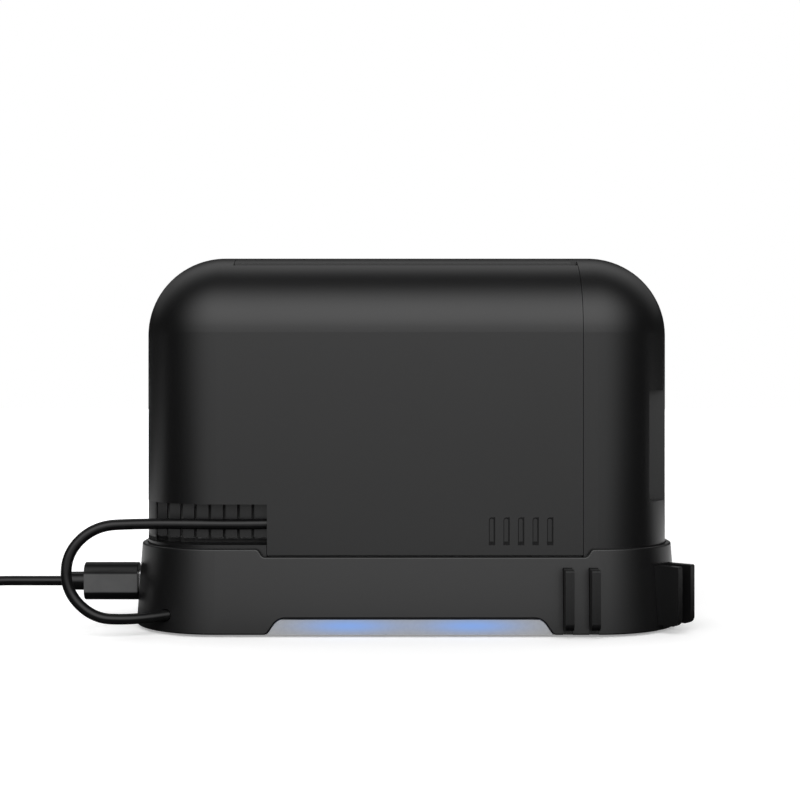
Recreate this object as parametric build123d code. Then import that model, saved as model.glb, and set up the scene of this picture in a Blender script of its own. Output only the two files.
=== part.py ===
from build123d import *
import math
import os

# Frame: X to the right seen from the rear, Y from the rear to the front, Z up from the table.
# The origin is the middle of the base's footprint on the table. All sizes are millimetres.

# Pod, the upper housing with the docking slot
pod_width = 202.6
pod_depth = 51.2
pod_height = 114.5
pod_corner_radius = 30.4
pod_front_radius = 5.0
pod_wall = 2.0
pod_floor_thickness = 2.0
front_plate_thickness = 6.3
slot_gap = 15.4
slot_floor_rise = 20.9
pod_foot_stand = 0.5
pod_foot_diameter = 10.0
pod_foot_seat = 0.9

# Rear cover with its vent grooves and the bridge over its upper edge
right_end_width = 35.7
cover_gap = 0.2
cover_bottom_rise = 1.3
bridge_lap = 0.6
bridge_reach = 17.0
bridge_step = 4.1
pry_notch_width = 2.6
pry_notch_depth = 3.0
cover_rib_height = 40.0
cover_rib_reach = 9.0
cover_rib_thickness = 1.2
vent_count = 5
vent_pitch = 5.4
vent_width = 2.25
vent_height = 10.2
vent_depth = 0.36
vent_left_depth = 0.12
vent_draft = 60.0
vent_inset = 19.85
vent_centre_rise = 10.2

# Cable exit at the cover's lower left, with its ribbed panel
notch_share = 0.5153
notch_low_rise = 5.0
notch_high_rise = 20.1
notch_depth = 7.0
panel_lap = 1.0
groove_pitch = 5.4
groove_inset = 5.8
groove_width = 1.0
groove_depth = 1.6
groove_margin = 4.0
facet_gap_share = 0.18
panel_slot_height = 2.2
panel_slot_depth = 2.6
panel_backing = 4.0

# Side ports in the pocket at the right end
pocket_inset = 9.8
pocket_back = 3.9
pocket_low_rise = 20.4
pocket_high_rise = 62.9
side_port_width = 13.2
side_port_height = 5.9
side_port_length = 14.0
side_port_wall = 0.5
side_tongue_thickness = 1.8
side_tongue_share = 0.8
side_tongue_length_share = 0.65
side_port_pitch = 20.0
side_port_offset = 8.0
side_board_width = 13.0
side_board_height = 47.0

# Cable bay: boards, ports and fan behind the cover
shroud_share = 0.11846
shroud_setback = 3.4
shroud_height = 77.0
shroud_wall = 1.6
shroud_reach = 21.9
shroud_gap = 0.4
board_thickness = 1.6
boss_diameter = 5.0
boss_height = 2.5
boss_inset = 4.0
boss_left_inset = 18.0
video_port_width = 15.0
video_port_height = 5.6
video_port_depth = 11.5
video_port_wall = 0.5
network_port_width = 16.0
network_port_height = 13.5
network_port_depth = 21.0
network_port_wall = 1.4
port_margin = 1.9
port_gap = 5.5
port_tongue_share = 0.7
video_tongue_length_share = 0.6
network_tongue_length_share = 0.2
port_tongue_thickness = 1.0
power_port_rise = 12.4
port_fit = 0.3
fan_size = 30.0
fan_depth = 8.0
fan_bore = 28.4
fan_centre_rise = 20.4
fan_hub_diameter = 12.6
fan_tip_gap = 0.6
fan_shaft_diameter = 2.0
fan_strut = 1.2
blade_count = 7
blade_thickness = 1.0
blade_pitch_angle = 42.0

# Floating connector in the slot
carrier_width = 27.4
carrier_depth = 9.0
carrier_proud = 1.4
carrier_height = 13.9
carrier_sway_room = 1.5
pivot_diameter = 2.0
pivot_play = 0.1
pivot_drop = 9.9
ear_thickness = 2.0
ear_depth = 8.0
ear_gap = 0.5

# Guide strips and status light
guide_thickness = 0.5
guide_width = 4.0
guide_height = 60.0
guide_spread = 120.0
guide_rise = 12.0
light_pipe_diameter = 2.0
light_pipe_x = 88.0
light_pipe_rise = 12.0

# Base, the lit stand under the pod
pad_stand = 1.0
pad_width = 150.0
pad_depth = 26.0
pad_corner = 8.0
pad_seat = 0.5
base_deck_rise = 27.1
base_deck_thickness = 2.0
base_rim_rise = 4.2
base_rim_cut_rise = 1.3
base_wall = 2.0
base_flare = 2.25
rim_wall = 1.8
pod_clearance = 0.35
rim_cut_left_margin = 1.15
rim_cut_right_margin = 0.95
rim_ramp = 1.9
rim_ramp_radius = 1.8
rim_edge_radius = 0.6
foot_edge_radius = 0.5
base_floor_thickness = 2.0
base_boss_diameter = 7.0
base_boss_inset = 14.5
base_boss_inner_share = 0.3
base_boss_front_inset = 9.1

# Light bar in the cut-out under the rear wall
light_left_width = 47.7
light_right_width = 49.8
light_ramp = 4.2
light_height = 6.0
light_top_radius = 5.6
light_foot_radius = 1.8
light_inset = 0.5
light_thickness = 2.1
light_fit = 0.15
led_spread = 47.0
led_gap = 2.6
led_board_width = 100.0
led_board_height = 6.0
led_board_thickness = 1.2
led_width = 5.0
led_height = 2.8
led_depth = 1.6

# Holder rails: two pairs of fins through the base wall
rail_width = 3.2
rail_pitch = 9.6
rail_low_rise = 2.2
rail_high_rise = 24.4
rear_rail_reach = 5.7
side_rail_reach = 8.0
rail_toe_radius = 2.6
rail_head_radius = 0.6
rail_fit = 0.15
rail_plate_inset = 7.7
rail_plate_thickness = 2.0
rear_rail_inset = 37.24
side_rail_angle = 50.0
side_rail_shift = 1.5

# Screws
screw_diameter = 2.0
screw_head_diameter = 3.8
screw_head_height = 1.2
screw_length = 4.4
screw_play = 0.05
floor_screw_diameter = 2.5
floor_screw_head_diameter = 4.8
floor_screw_length = 8.0
floor_screw_inset = 12.0
floor_screw_share = 0.4

# Plugs, sockets and cords
socket_width = 8.94
socket_height = 3.26
socket_depth = 7.3
socket_wall = 0.28
socket_tongue_share = 0.75
socket_tongue_thickness = 0.7
socket_tongue_setback = 2.0
nose_play = 0.06
nose_wall = 0.28
nose_length = 6.5
plug_width = 14.7
plug_thickness = 7.8
plug_length = 21.1
plug_edge_chamfer = 0.2
plug_gap = 0.6
boot_diameter = 7.2
boot_tip_diameter = 7.1
boot_length = 6.2
link_plug_width = 12.4
link_plug_thickness = 6.6
link_plug_length = 20.7
link_boot_diameter = 6.2
link_boot_tip_diameter = 5.0
link_plug_gap = 0.3
link_cord_diameter = 4.0
power_cord_diameter = 3.8
inlet_y = 4.0
inlet_rise = 15.35
inlet_setback = 0.8
base_board_length = 26.0
base_board_height = 21.0
cord_hole_play = 0.4
anchor_length = 8.0
anchor_width = 9.0
anchor_height = 7.6

# Free points of the link cord, chosen by hand: from the pod's left rear edge, and
# from the base's foot for the lower ones or the power port's height for the upper ones
link_low_points = [
    (20.5, 7.1, 7.0),
    (9.8, 1.2, 6.1),
    (-1.7, -3.4, 5.5),
    (-14.0, -5.4, 6.4),
    (-24.0, -5.2, 16.4),
]
link_high_points = [
    (-24.0, -4.4, -9.8),
    (-14.0, -2.4, 0.0),
    (0.8, 0.6, 0.5),
    (18.3, 3.7, 0.2),
    (33.3, 4.3, -0.1),
]
link_bay_start = (2.2, 4.4, 0.1)
link_bay_shares = [(0.36, 0.225), (0.69, 0.714)]
link_end_run = 8.4

# Free points of the power lead: run from the boot, sideways, and share of the drop that is left
power_points = [
    (27.5, 0.2, 0.993),
    (40.5, 0.1, 0.726),
    (52.0, -0.2, 0.237),
]
power_first_run = 13.5
power_last_run = 9.5
coil_entry_run = 73.0
coil_entry_shift = -0.6
coil_mean_diameter = 42.0
coil_columns = 3
coil_layers = 4
coil_lift = 0.7
coil_lead = 15.0
coil_tail = 34.0
turn_pitch = 3.9
tie_width = 6.0
tie_thickness = 0.5
tie_gap = 0.1
tie_side_gap = 0.5

# Levels and planes that follow from the sizes
base_bottom = pad_stand
base_floor_top = base_bottom + base_floor_thickness
deck_top = base_bottom + base_deck_rise
deck_under = deck_top - base_deck_thickness
rim_top = deck_top + base_rim_rise
rim_cut_top = deck_top + base_rim_cut_rise
pod_bottom = deck_top + pod_foot_stand
pod_top = pod_bottom + pod_height
pod_inner_floor = pod_bottom + pod_floor_thickness
slot_floor = pod_bottom + slot_floor_rise
half_width = pod_width / 2
cover_right = half_width - right_end_width
bridge_half_width = cover_right + bridge_lap
notch_right = -notch_share * half_width
rim_cut_left = notch_right - rim_cut_left_margin
rim_cut_right = cover_right + rim_cut_right_margin
shroud_left = shroud_share * half_width
shroud_right = cover_right - shroud_setback
vent_centre_x = shroud_right - vent_inset
rear_rail_x = half_width - rear_rail_inset
rear_face = -pod_depth / 2
front_face = pod_depth / 2
slot_front = front_face - front_plate_thickness
slot_rear = slot_front - slot_gap
slot_middle = (slot_front + slot_rear) / 2
bulkhead_rear = slot_rear - pod_wall
cover_bottom = pod_bottom + cover_bottom_rise
notch_low = pod_bottom + notch_low_rise
notch_high = pod_bottom + notch_high_rise
bridge_rear = rear_face + bridge_reach
far = 2 * pod_width
over = 1.0

nodes = {}


def block(x_range, y_range, z_range):
    """A box between two limits along each axis."""
    sizes = [high - low for low, high in (x_range, y_range, z_range)]
    middle = [(high + low) / 2 for low, high in (x_range, y_range, z_range)]
    return Pos(*middle) * Box(*sizes)


def post(x, y, low, high, diameter):
    """An upright cylinder between two levels."""
    return Pos(x, y, (low + high) / 2) * Cylinder(diameter / 2, high - low)


def post_along_y(x, z, rear, front, diameter):
    """A cylinder along Y between two planes."""
    return Pos(x, (rear + front) / 2, z) * Rot(90, 0, 0) * Cylinder(diameter / 2, front - rear)


def plan_face(half, rear, front, rear_radius, front_radius):
    """A plan outline with its own corner radius at the rear and at the front."""
    face = Pos(0, (rear + front) / 2) * Rectangle(2 * half, front - rear)
    face = fillet(face.vertices().group_by(Axis.Y)[0], rear_radius)
    return fillet(face.vertices().group_by(Axis.Y)[-1], front_radius)


def pod_plan(grow):
    """The pod's plan outline, grown outwards all round."""
    return plan_face(
        half_width + grow,
        rear_face - grow,
        front_face + grow,
        pod_corner_radius + grow,
        pod_front_radius + grow,
    )


def pod_body(inset):
    """The pod's rounded block, set in from its outer faces."""
    body = block(
        (-half_width + inset, half_width - inset),
        (rear_face + inset, front_face - inset),
        (pod_bottom - inset, pod_top - inset),
    )
    rear_edges = body.edges().group_by(Axis.Y)[0].sort_by(Axis.Z)[1:]
    shoulder_edges = body.edges().filter_by(Axis.Y).group_by(Axis.Z)[-1]
    body = fillet(rear_edges + shoulder_edges, pod_corner_radius - inset)
    front_edges = body.faces().sort_by(Axis.Y)[-1].edges().sort_by(Axis.Z)[1:]
    return fillet(front_edges, pod_front_radius - inset)


def base_grow(level):
    """How far the base stands out from the pod's plan at a level."""
    lean = base_flare * (rim_top - level) / (rim_top - base_bottom)
    return pod_clearance + rim_wall + lean


def base_body(inset, low, high):
    """The base's flared block between two levels, set in from its outer wall."""
    lean = math.degrees(math.atan2(base_flare, rim_top - base_bottom))
    return Pos(0, 0, low) * extrude(pod_plan(base_grow(low) - inset), high - low, taper=lean)


def on_base_wall(point):
    """Whether a point lies on the base's outer wall."""
    radius = pod_corner_radius if point.Y < 0 else pod_front_radius
    past_x = abs(point.X) - (half_width - radius)
    past_y = abs(point.Y) - (pod_depth / 2 - radius)
    stand_off = math.hypot(max(past_x, 0), max(past_y, 0)) + min(max(past_x, past_y), 0) - radius
    return abs(stand_off - base_grow(point.Z)) < 0.01


def stepped_cutter(left, right, ramp, outer_level, inner_level, outer_radius, inner_radius, away):
    """A cutter for the rear half whose edge steps from one level to another in smooth ramps."""
    outline = Polyline(
        (-far, outer_level),
        (left - ramp, outer_level),
        (left, inner_level),
        (right, inner_level),
        (right + ramp, outer_level),
        (far, outer_level),
        (far, outer_level + away),
        (-far, outer_level + away),
        close=True,
    )
    face = make_face(outline)
    outer_ends = [v for v in face.vertices() if abs(v.Y - outer_level) < 1e-6 and abs(v.X) < far / 2]
    face = fillet(outer_ends, outer_radius)
    inner_ends = [v for v in face.vertices() if abs(v.Y - inner_level) < 1e-6]
    face = fillet(inner_ends, inner_radius)
    return extrude(Plane.XZ * face, amount=pod_depth)


def socket(width, height, depth, wall, tongue_width, tongue_thickness, tongue_length):
    """A port shell with its mouth at z = 0 and its body below."""
    shell = extrude(RectangleRounded(width, height, wall), -depth)
    cavity = extrude(Rectangle(width - 2 * wall, height - 2 * wall), -(depth - wall))
    tongue = Pos(0, 0, -depth + wall + tongue_length / 2) * Box(
        tongue_width, tongue_thickness, tongue_length
    )
    return shell - cavity + tongue


def round_socket():
    """A round-ended port shell with its mouth at z = 0 and its body below."""
    inner_width = socket_width - 2 * socket_wall
    inner_height = socket_height - 2 * socket_wall
    shell = extrude(SlotOverall(socket_width, socket_height), -socket_depth)
    cavity = extrude(SlotOverall(inner_width, inner_height), -(socket_depth - socket_wall))
    tongue_length = socket_depth - socket_tongue_setback
    tongue = Box(socket_tongue_share * inner_width, socket_tongue_thickness, tongue_length)
    tongue = Pos(0, 0, -socket_depth + tongue_length / 2) * tongue
    return shell - cavity + tongue


def round_nose():
    """The metal nose of a plug, from z = 0 to its open tip."""
    width = socket_width - 2 * socket_wall - 2 * nose_play
    height = socket_height - 2 * socket_wall - 2 * nose_play
    shell = extrude(SlotOverall(width, height), nose_length)
    cavity = extrude(SlotOverall(width - 2 * nose_wall, height - 2 * nose_wall), nose_length)
    return shell - Pos(0, 0, nose_wall) * cavity


def plug_body(width, thickness, length):
    """A plug's moulded grip, with its nose face at z = 0 and its tail below."""
    grip = extrude(SlotOverall(width, thickness), -length)
    tail_edges = grip.faces().sort_by(Axis.Z)[0].edges()
    nose_edges = grip.faces().sort_by(Axis.Z)[-1].edges()
    return chamfer(tail_edges + nose_edges, plug_edge_chamfer)


def plug_boot(length, root_diameter, tip_diameter):
    """The tapered boot behind a plug's grip, from its tail at z = -length."""
    middle = -length - boot_length / 2
    return Pos(0, 0, middle) * Cone(tip_diameter / 2, root_diameter / 2, boot_length)


def screw(diameter, head_diameter, length):
    """A pan-head screw with its head below z = 0 and its shank above."""
    head = Pos(0, 0, -screw_head_height / 2) * Cylinder(head_diameter / 2, screw_head_height)
    shank = Pos(0, 0, length / 2) * Cylinder(diameter / 2, length)
    return head + shank


def cord_tube(name, points, diameter):
    """A cord's tube along straight runs joined by tangent arcs."""
    corners = [Vector(*point) for point in points]
    runs = [after - before for before, after in zip(corners, corners[1:])]
    radii = []
    for before, after in zip(runs, runs[1:]):
        half_turn = math.radians(before.get_angle(after)) / 2
        radii.append(0.45 * min(before.length, after.length) / math.tan(half_turn))
    path = FilletPolyline(*corners, radius=radii)
    section = Plane(origin=corners[0], z_dir=runs[0]) * Circle(diameter / 2)
    tube = sweep(section, path=path)
    expected = math.pi * diameter**2 / 4 * path.length
    print(name, "radii", [round(radius, 1) for radius in radii])
    print(name, "length", round(path.length, 1), "volume ratio", round(tube.volume / expected, 4))
    return tube


# Pod shells
pod_shape = pod_body(0)
pod_hollow = pod_body(pod_wall)
pod_skin = pod_shape - pod_hollow
whole_x = (-far, far)
rear_y = (rear_face - over, slot_rear)
pod_z = (pod_bottom - over, pod_top + over)

nodes["front_plate"] = pod_shape & block(whole_x, (slot_front, far), pod_z)
light_pipe_z = pod_bottom + light_pipe_rise
light_hole = post_along_y(
    light_pipe_x, light_pipe_z, slot_front - over, far, light_pipe_diameter + 2 * screw_play
)
nodes["front_plate"] -= light_hole
nodes["status_light"] = post_along_y(
    light_pipe_x, light_pipe_z, slot_front, front_face, light_pipe_diameter
)


# Boards, bosses and ports of the cable bay
shroud_low = pod_inner_floor + shroud_gap
shroud_high = shroud_low + shroud_height
shroud_rear = bulkhead_rear - shroud_reach
board_front = bulkhead_rear - boss_height
board_rear = board_front - board_thickness
board_x = (shroud_left + shroud_wall + shroud_gap, shroud_right - shroud_wall - shroud_gap)
board_z = (shroud_low + shroud_wall + shroud_gap, shroud_high - shroud_wall - shroud_gap)
main_boss_spots = [
    (x, z)
    for x in (board_x[0] + boss_left_inset, board_x[1] - boss_inset)
    for z in (board_z[0] + boss_inset, board_z[1] - boss_inset)
]
pocket_wall_x = half_width - pocket_inset
pocket_floor_y = bulkhead_rear - pocket_back
pocket_z = (pod_bottom + pocket_low_rise, pod_bottom + pocket_high_rise)
side_port_y = pocket_floor_y - side_port_offset
side_port_middle = (pocket_z[0] + pocket_z[1]) / 2
side_port_spots = [side_port_middle - side_port_pitch / 2, side_port_middle + side_port_pitch / 2]
side_board_y = side_port_y + side_port_height / 2
side_board_right = pocket_wall_x - pod_wall
side_board_left = side_board_right - side_board_width
side_boss_x = side_board_left + boss_inset
side_boss_spots = [
    (side_boss_x, side_port_middle + sign * (side_board_height / 2 - boss_inset)) for sign in (-1, 1)
]
power_port_z = pod_bottom + power_port_rise
video_port_z = shroud_high - shroud_wall - port_margin - video_port_width / 2
network_port_z = video_port_z - (video_port_width + network_port_width) / 2 - port_gap


def board_screw(x, z, rear):
    """A board screw whose head bears on a board's rear face."""
    place = Plane(origin=(x, rear, z), x_dir=(1, 0, 0), z_dir=(0, 1, 0))
    return place * screw(screw_diameter, screw_head_diameter, screw_length)


def facing_left(x, y, z):
    """A place for a port whose mouth looks along -X and whose width stands up."""
    return Plane(origin=(x, y, z), x_dir=(0, 0, 1), z_dir=(-1, 0, 0))


def facing_right(x, y, z):
    """A place for a port whose mouth looks along +X and whose width stands up."""
    return Plane(origin=(x, y, z), x_dir=(0, 0, 1), z_dir=(1, 0, 0))


# Pod housing: slot walls, bridge, right end, lower block and the ledge of the cable exit
right_end = pod_skin & block((cover_right, far), rear_y, pod_z)
bulkhead = pod_shape & block(whole_x, (bulkhead_rear, slot_rear), (pod_inner_floor, far))
partition = pod_body(pod_wall / 2) & block(
    (cover_right, cover_right + pod_wall), rear_y, (pod_inner_floor, far)
)
bridge = pod_skin & block(
    (-bridge_half_width, cover_right + pod_wall),
    (bridge_rear, slot_rear),
    (pod_top - pod_corner_radius, far),
)
lower_block = pod_shape & block(whole_x, (bulkhead_rear, slot_front), (pod_bottom - over, slot_floor))
inner_x = (-half_width + pod_wall, half_width - pod_wall)
lower_block -= block(
    inner_x, (slot_rear, slot_front - pod_wall), (pod_bottom - far, slot_floor - pod_wall)
)
lower_block -= block(inner_x, (bulkhead_rear - over, slot_front + over), (-far, pod_inner_floor))
exit_strip = pod_skin & block((-far, notch_right), rear_y, (pod_bottom - over, notch_low))
exit_ledge = pod_shape & block(
    (-far, notch_right), (-far, bulkhead_rear + over), (notch_low - pod_wall, notch_low)
)
pocket_shell = pod_shape & block(
    (pocket_wall_x - pod_wall, far),
    (-far, bulkhead_rear + over),
    (pocket_z[0] - pod_wall, pocket_z[1] + pod_wall),
)
housing = right_end + bulkhead + partition + bridge + lower_block + exit_strip + exit_ledge
housing -= block(
    (pocket_wall_x - pod_wall, far), (-far, pocket_floor_y + pod_wall), (pocket_z[0], pocket_z[1])
)
pocket_hollow = block((pocket_wall_x, far), (-far, pocket_floor_y), pocket_z)
housing += pocket_shell - pocket_hollow
for port_z in side_port_spots:
    opening = Rectangle(side_port_width + port_fit, side_port_height + port_fit)
    place = facing_right(pocket_wall_x + over, side_port_y, port_z)
    housing -= place * extrude(opening, -(pod_wall + 2 * over))
for x, z in main_boss_spots:
    housing += post_along_y(x, z, board_front, bulkhead_rear, boss_diameter)
for x, z in side_boss_spots:
    housing += post_along_y(x, z, side_board_y + board_thickness, bulkhead_rear, boss_diameter)
screw_hole = screw_diameter + 2 * screw_play
for x, z in main_boss_spots:
    housing -= post_along_y(x, z, board_rear, board_rear + screw_length + over / 5, screw_hole)
for x, z in side_boss_spots:
    housing -= post_along_y(x, z, side_board_y, side_board_y + screw_length + over / 5, screw_hole)

carrier_opening = block(
    (-carrier_width / 2 - carrier_sway_room, carrier_width / 2 + carrier_sway_room),
    (
        slot_middle - carrier_depth / 2 - carrier_sway_room,
        slot_middle + carrier_depth / 2 + carrier_sway_room,
    ),
    (slot_floor - pod_wall - over, slot_floor + over),
)
housing -= carrier_opening
pry_notch = block(
    (cover_right - pry_notch_width, cover_right),
    (bridge_rear - over, bridge_rear + pry_notch_depth),
    (pod_top - bridge_step - pod_wall, pod_top),
)
housing -= pry_notch

floor_screw_x = (half_width - floor_screw_inset, floor_screw_share * half_width)
floor_screw_spots = [(sign * x, slot_middle) for sign in (-1, 1) for x in floor_screw_x]
floor_screw_hole = floor_screw_diameter + 2 * screw_play
floor_boss_diameter = floor_screw_diameter + 2 * pod_wall
for x, y in floor_screw_spots:
    housing += post(x, y, pod_inner_floor, slot_floor - pod_wall / 2, floor_boss_diameter)
for x, y in floor_screw_spots:
    housing -= post(x, y, pod_bottom, pod_bottom + floor_screw_length + pod_wall, floor_screw_hole)
nodes["pod_housing"] = housing

# Pod floor with the ears of the connector's pivot
pivot_z = slot_floor - pivot_drop + carrier_proud
floor_plate = Pos(0, 0, pod_bottom) * extrude(
    pod_plan(-(pod_wall + cover_gap)), pod_floor_thickness
)
floor_plate &= block(whole_x, (-far, slot_front - cover_gap), pod_z)
for sign in (-1, 1):
    ear_inner = carrier_width / 2 + ear_gap
    ear_x = sorted((sign * ear_inner, sign * (ear_inner + ear_thickness)))
    floor_plate += block(
        ear_x,
        (slot_middle - ear_depth / 2, slot_middle + ear_depth / 2),
        (pod_inner_floor - over / 2, pivot_z + ear_depth / 2),
    )
pin_length = carrier_width + 2 * (ear_gap + ear_thickness)
pin_place = Pos(0, slot_middle, pivot_z) * Rot(0, 90, 0)
floor_plate -= pin_place * Cylinder(pivot_diameter / 2, pin_length + over)
for x, y in floor_screw_spots:
    head_seat = floor_screw_head_diameter + 4 * screw_play
    floor_plate -= post(x, y, pod_bottom - over, pod_bottom + screw_head_height, head_seat)
    floor_plate -= post(x, y, pod_bottom, pod_inner_floor + over, floor_screw_hole)
foot_spots = [
    (sign * (half_width - pod_corner_radius), y)
    for sign in (-1, 1)
    for y in (rear_face + pod_foot_diameter, slot_rear - pod_foot_diameter / 2)
]
for x, y in foot_spots:
    floor_plate -= post(x, y, pod_bottom - over, pod_bottom + pod_foot_seat, pod_foot_diameter)
nodes["pod_floor"] = floor_plate
nodes["pod_feet"] = [
    post(x, y, deck_top, pod_bottom + pod_foot_seat, pod_foot_diameter) for x, y in foot_spots
]
nodes["pod_screws"] = [
    Pos(x, y, pod_bottom + screw_head_height)
    * screw(floor_screw_diameter, floor_screw_head_diameter, floor_screw_length)
    for x, y in floor_screw_spots
]

# Floating connector
carrier_top = slot_floor + carrier_proud
carrier = block(
    (-carrier_width / 2, carrier_width / 2),
    (slot_middle - carrier_depth / 2, slot_middle + carrier_depth / 2),
    (carrier_top - carrier_height, carrier_top),
)
carrier = fillet(carrier.edges().filter_by(Axis.Z), pod_wall)
carrier -= pin_place * Cylinder(pivot_diameter / 2 + pivot_play, carrier_width + over)
nodes["connector_carrier"] = carrier
nodes["connector_pin"] = pin_place * Cylinder(pivot_diameter / 2, pin_length)
nodes["docking_plug"] = Pos(0, slot_middle, carrier_top) * round_nose()

# Guide strips on both walls of the slot
guide_z = (slot_floor + guide_rise, slot_floor + guide_rise + guide_height)


def guide_pair(y_range):
    """Two upright strips on one wall of the slot."""
    strips = []
    for sign in (-1, 1):
        middle = sign * guide_spread / 2
        strips.append(block((middle - guide_width / 2, middle + guide_width / 2), y_range, guide_z))
    return strips


nodes["front_guides"] = guide_pair((slot_front - guide_thickness, slot_front))
nodes["rear_guides"] = guide_pair((slot_rear, slot_rear + guide_thickness))

# Rear cover
vent_z = pod_bottom + vent_centre_rise


def vent_wedge(x):
    """The room of one vent's scoop, which deepens from its left to its right."""
    left = x - vent_width / 2
    right = x + vent_width / 2
    outline = Polyline(
        (left, rear_face - 2 * over),
        (right, rear_face - 2 * over),
        (right, rear_face + vent_depth),
        (left, rear_face + vent_left_depth),
        close=True,
    )
    return Pos(0, 0, vent_z - vent_height / 2) * extrude(make_face(outline), vent_height)


cover_y = (rear_face - over, bulkhead_rear - cover_gap)
cover_zone = block((-far, cover_right - cover_gap), cover_y, (notch_high, far))
cover_zone += block(
    (notch_right + cover_gap, cover_right - cover_gap), cover_y, (cover_bottom, notch_high + over)
)
cover = pod_skin & cover_zone
bridge_x = (-bridge_half_width - cover_gap, far)
cover -= block(bridge_x, (bridge_rear - cover_gap, far), (pod_top - pod_corner_radius, far))
cover -= block(bridge_x, (rear_face + pod_wall, far), (pod_top - bridge_step, far))
for index in range(vent_count):
    vent_x = vent_centre_x + (index - (vent_count - 1) / 2) * vent_pitch
    place = Plane(origin=(vent_x, rear_face, vent_z), x_dir=(0, 0, 1), z_dir=(0, 1, 0))
    outline = SlotOverall(vent_height, vent_width)
    scoop = place * (extrude(outline, vent_depth, taper=vent_draft) + extrude(outline, -over))
    cover -= scoop & vent_wedge(vent_x)
rib_right = cover_right - cover_gap
rib_z = (pod_top - pod_corner_radius - cover_rib_height, pod_top - pod_corner_radius)
cover += block(
    (rib_right - cover_rib_thickness, rib_right),
    (rear_face + pod_wall / 2, rear_face + pod_wall + cover_rib_reach),
    rib_z,
)
nodes["rear_cover"] = cover

# Ribbed panel behind the cable exit: flat facets that step back round the corner
panel_rear = rear_face + notch_depth
panel_radius = pod_corner_radius - notch_depth
panel_corner_x = panel_radius - half_width
panel_z = (notch_low, notch_high + pod_wall)
facet_z = (notch_low + panel_slot_height, notch_high + pod_wall)
groove_first = notch_right - groove_inset
groove_count = int((groove_first + half_width - groove_margin) / groove_pitch) + 1
groove_spots = [groove_first - index * groove_pitch for index in range(groove_count)]


def panel_face(x):
    """Where the panel's rounded outline lies at one place along it."""
    past_corner = min(max(0.0, panel_corner_x - x), panel_radius)
    return panel_rear + panel_radius - math.sqrt(panel_radius**2 - past_corner**2)


panel_plan = plan_face(half_width, panel_rear, front_face, panel_radius, pod_front_radius)
panel_plan -= plan_face(
    half_width - pod_wall,
    panel_rear + pod_wall,
    front_face - pod_wall,
    panel_radius - pod_wall,
    pod_front_radius - pod_wall,
)
panel = Pos(0, 0, notch_low) * extrude(panel_plan, panel_z[1] - notch_low)
panel &= block((-far, groove_spots[-1]), (-far, far), panel_z)
facet_right = notch_right + panel_lap
last_face_y = panel_rear
for groove_x in groove_spots:
    face_y = panel_face(groove_x)
    back_y = panel_face(groove_x - groove_pitch) + panel_backing
    hidden = facet_gap_share * (face_y - last_face_y)
    facet_x = (groove_x + groove_width / 2, facet_right - groove_width / 2 - hidden)
    panel += block((groove_x - groove_width / 2, facet_right), (face_y + panel_slot_depth, back_y), panel_z)
    panel += block((groove_x, facet_right), (face_y + groove_depth, back_y), facet_z)
    panel += block(facet_x, (face_y, back_y), facet_z)
    facet_right = groove_x
    last_face_y = face_y
panel &= block((-far, notch_right + panel_lap), (-far, bulkhead_rear - cover_gap), (-far, far))
panel_lap_zone = pod_body(pod_wall + cover_gap)
panel_lap_zone += block(whole_x, (-far, far), (-far, notch_high - cover_gap))
panel &= panel_lap_zone
nodes["cable_exit_panel"] = panel

# Shroud, main board, ports and fan
fan_z = pod_bottom + fan_centre_rise
shroud = block((shroud_left, shroud_right), (shroud_rear, bulkhead_rear), (shroud_low, shroud_high))
shroud = fillet(shroud.faces().sort_by(Axis.Y)[0].edges(), shroud_wall)
shroud -= block(
    (shroud_left + shroud_wall, shroud_right - shroud_wall),
    (shroud_rear + shroud_wall, bulkhead_rear + over),
    (shroud_low + shroud_wall, shroud_high - shroud_wall),
)
shroud -= post_along_y(vent_centre_x, fan_z, shroud_rear - over, shroud_rear + shroud_wall + over, fan_bore)

video_size = (video_port_width, video_port_height, video_port_depth)
network_size = (network_port_width, network_port_height, network_port_depth)
port_rows = {
    "video_port": (video_port_z, video_size, video_port_wall, video_tongue_length_share),
    "network_port": (network_port_z, network_size, network_port_wall, network_tongue_length_share),
}
for name, (port_z, (width, height, depth), wall, reach) in port_rows.items():
    port_y = board_rear - height / 2
    place = facing_left(shroud_left, port_y, port_z)
    tongue = (port_tongue_share * width, port_tongue_thickness, reach * depth)
    nodes[name] = place * socket(width, height, depth, wall, *tongue)
    opening = Rectangle(width + port_fit, height + port_fit)
    shroud -= place * Pos(0, 0, over) * extrude(opening, -(shroud_wall + 2 * over))
power_port_y = board_rear - socket_height / 2
power_place = facing_left(shroud_left, power_port_y, power_port_z)
nodes["power_port"] = power_place * round_socket()
opening = SlotOverall(socket_width + port_fit, socket_height + port_fit)
shroud -= power_place * Pos(0, 0, over) * extrude(opening, -(shroud_wall + 2 * over))
nodes["port_shroud"] = shroud

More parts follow.
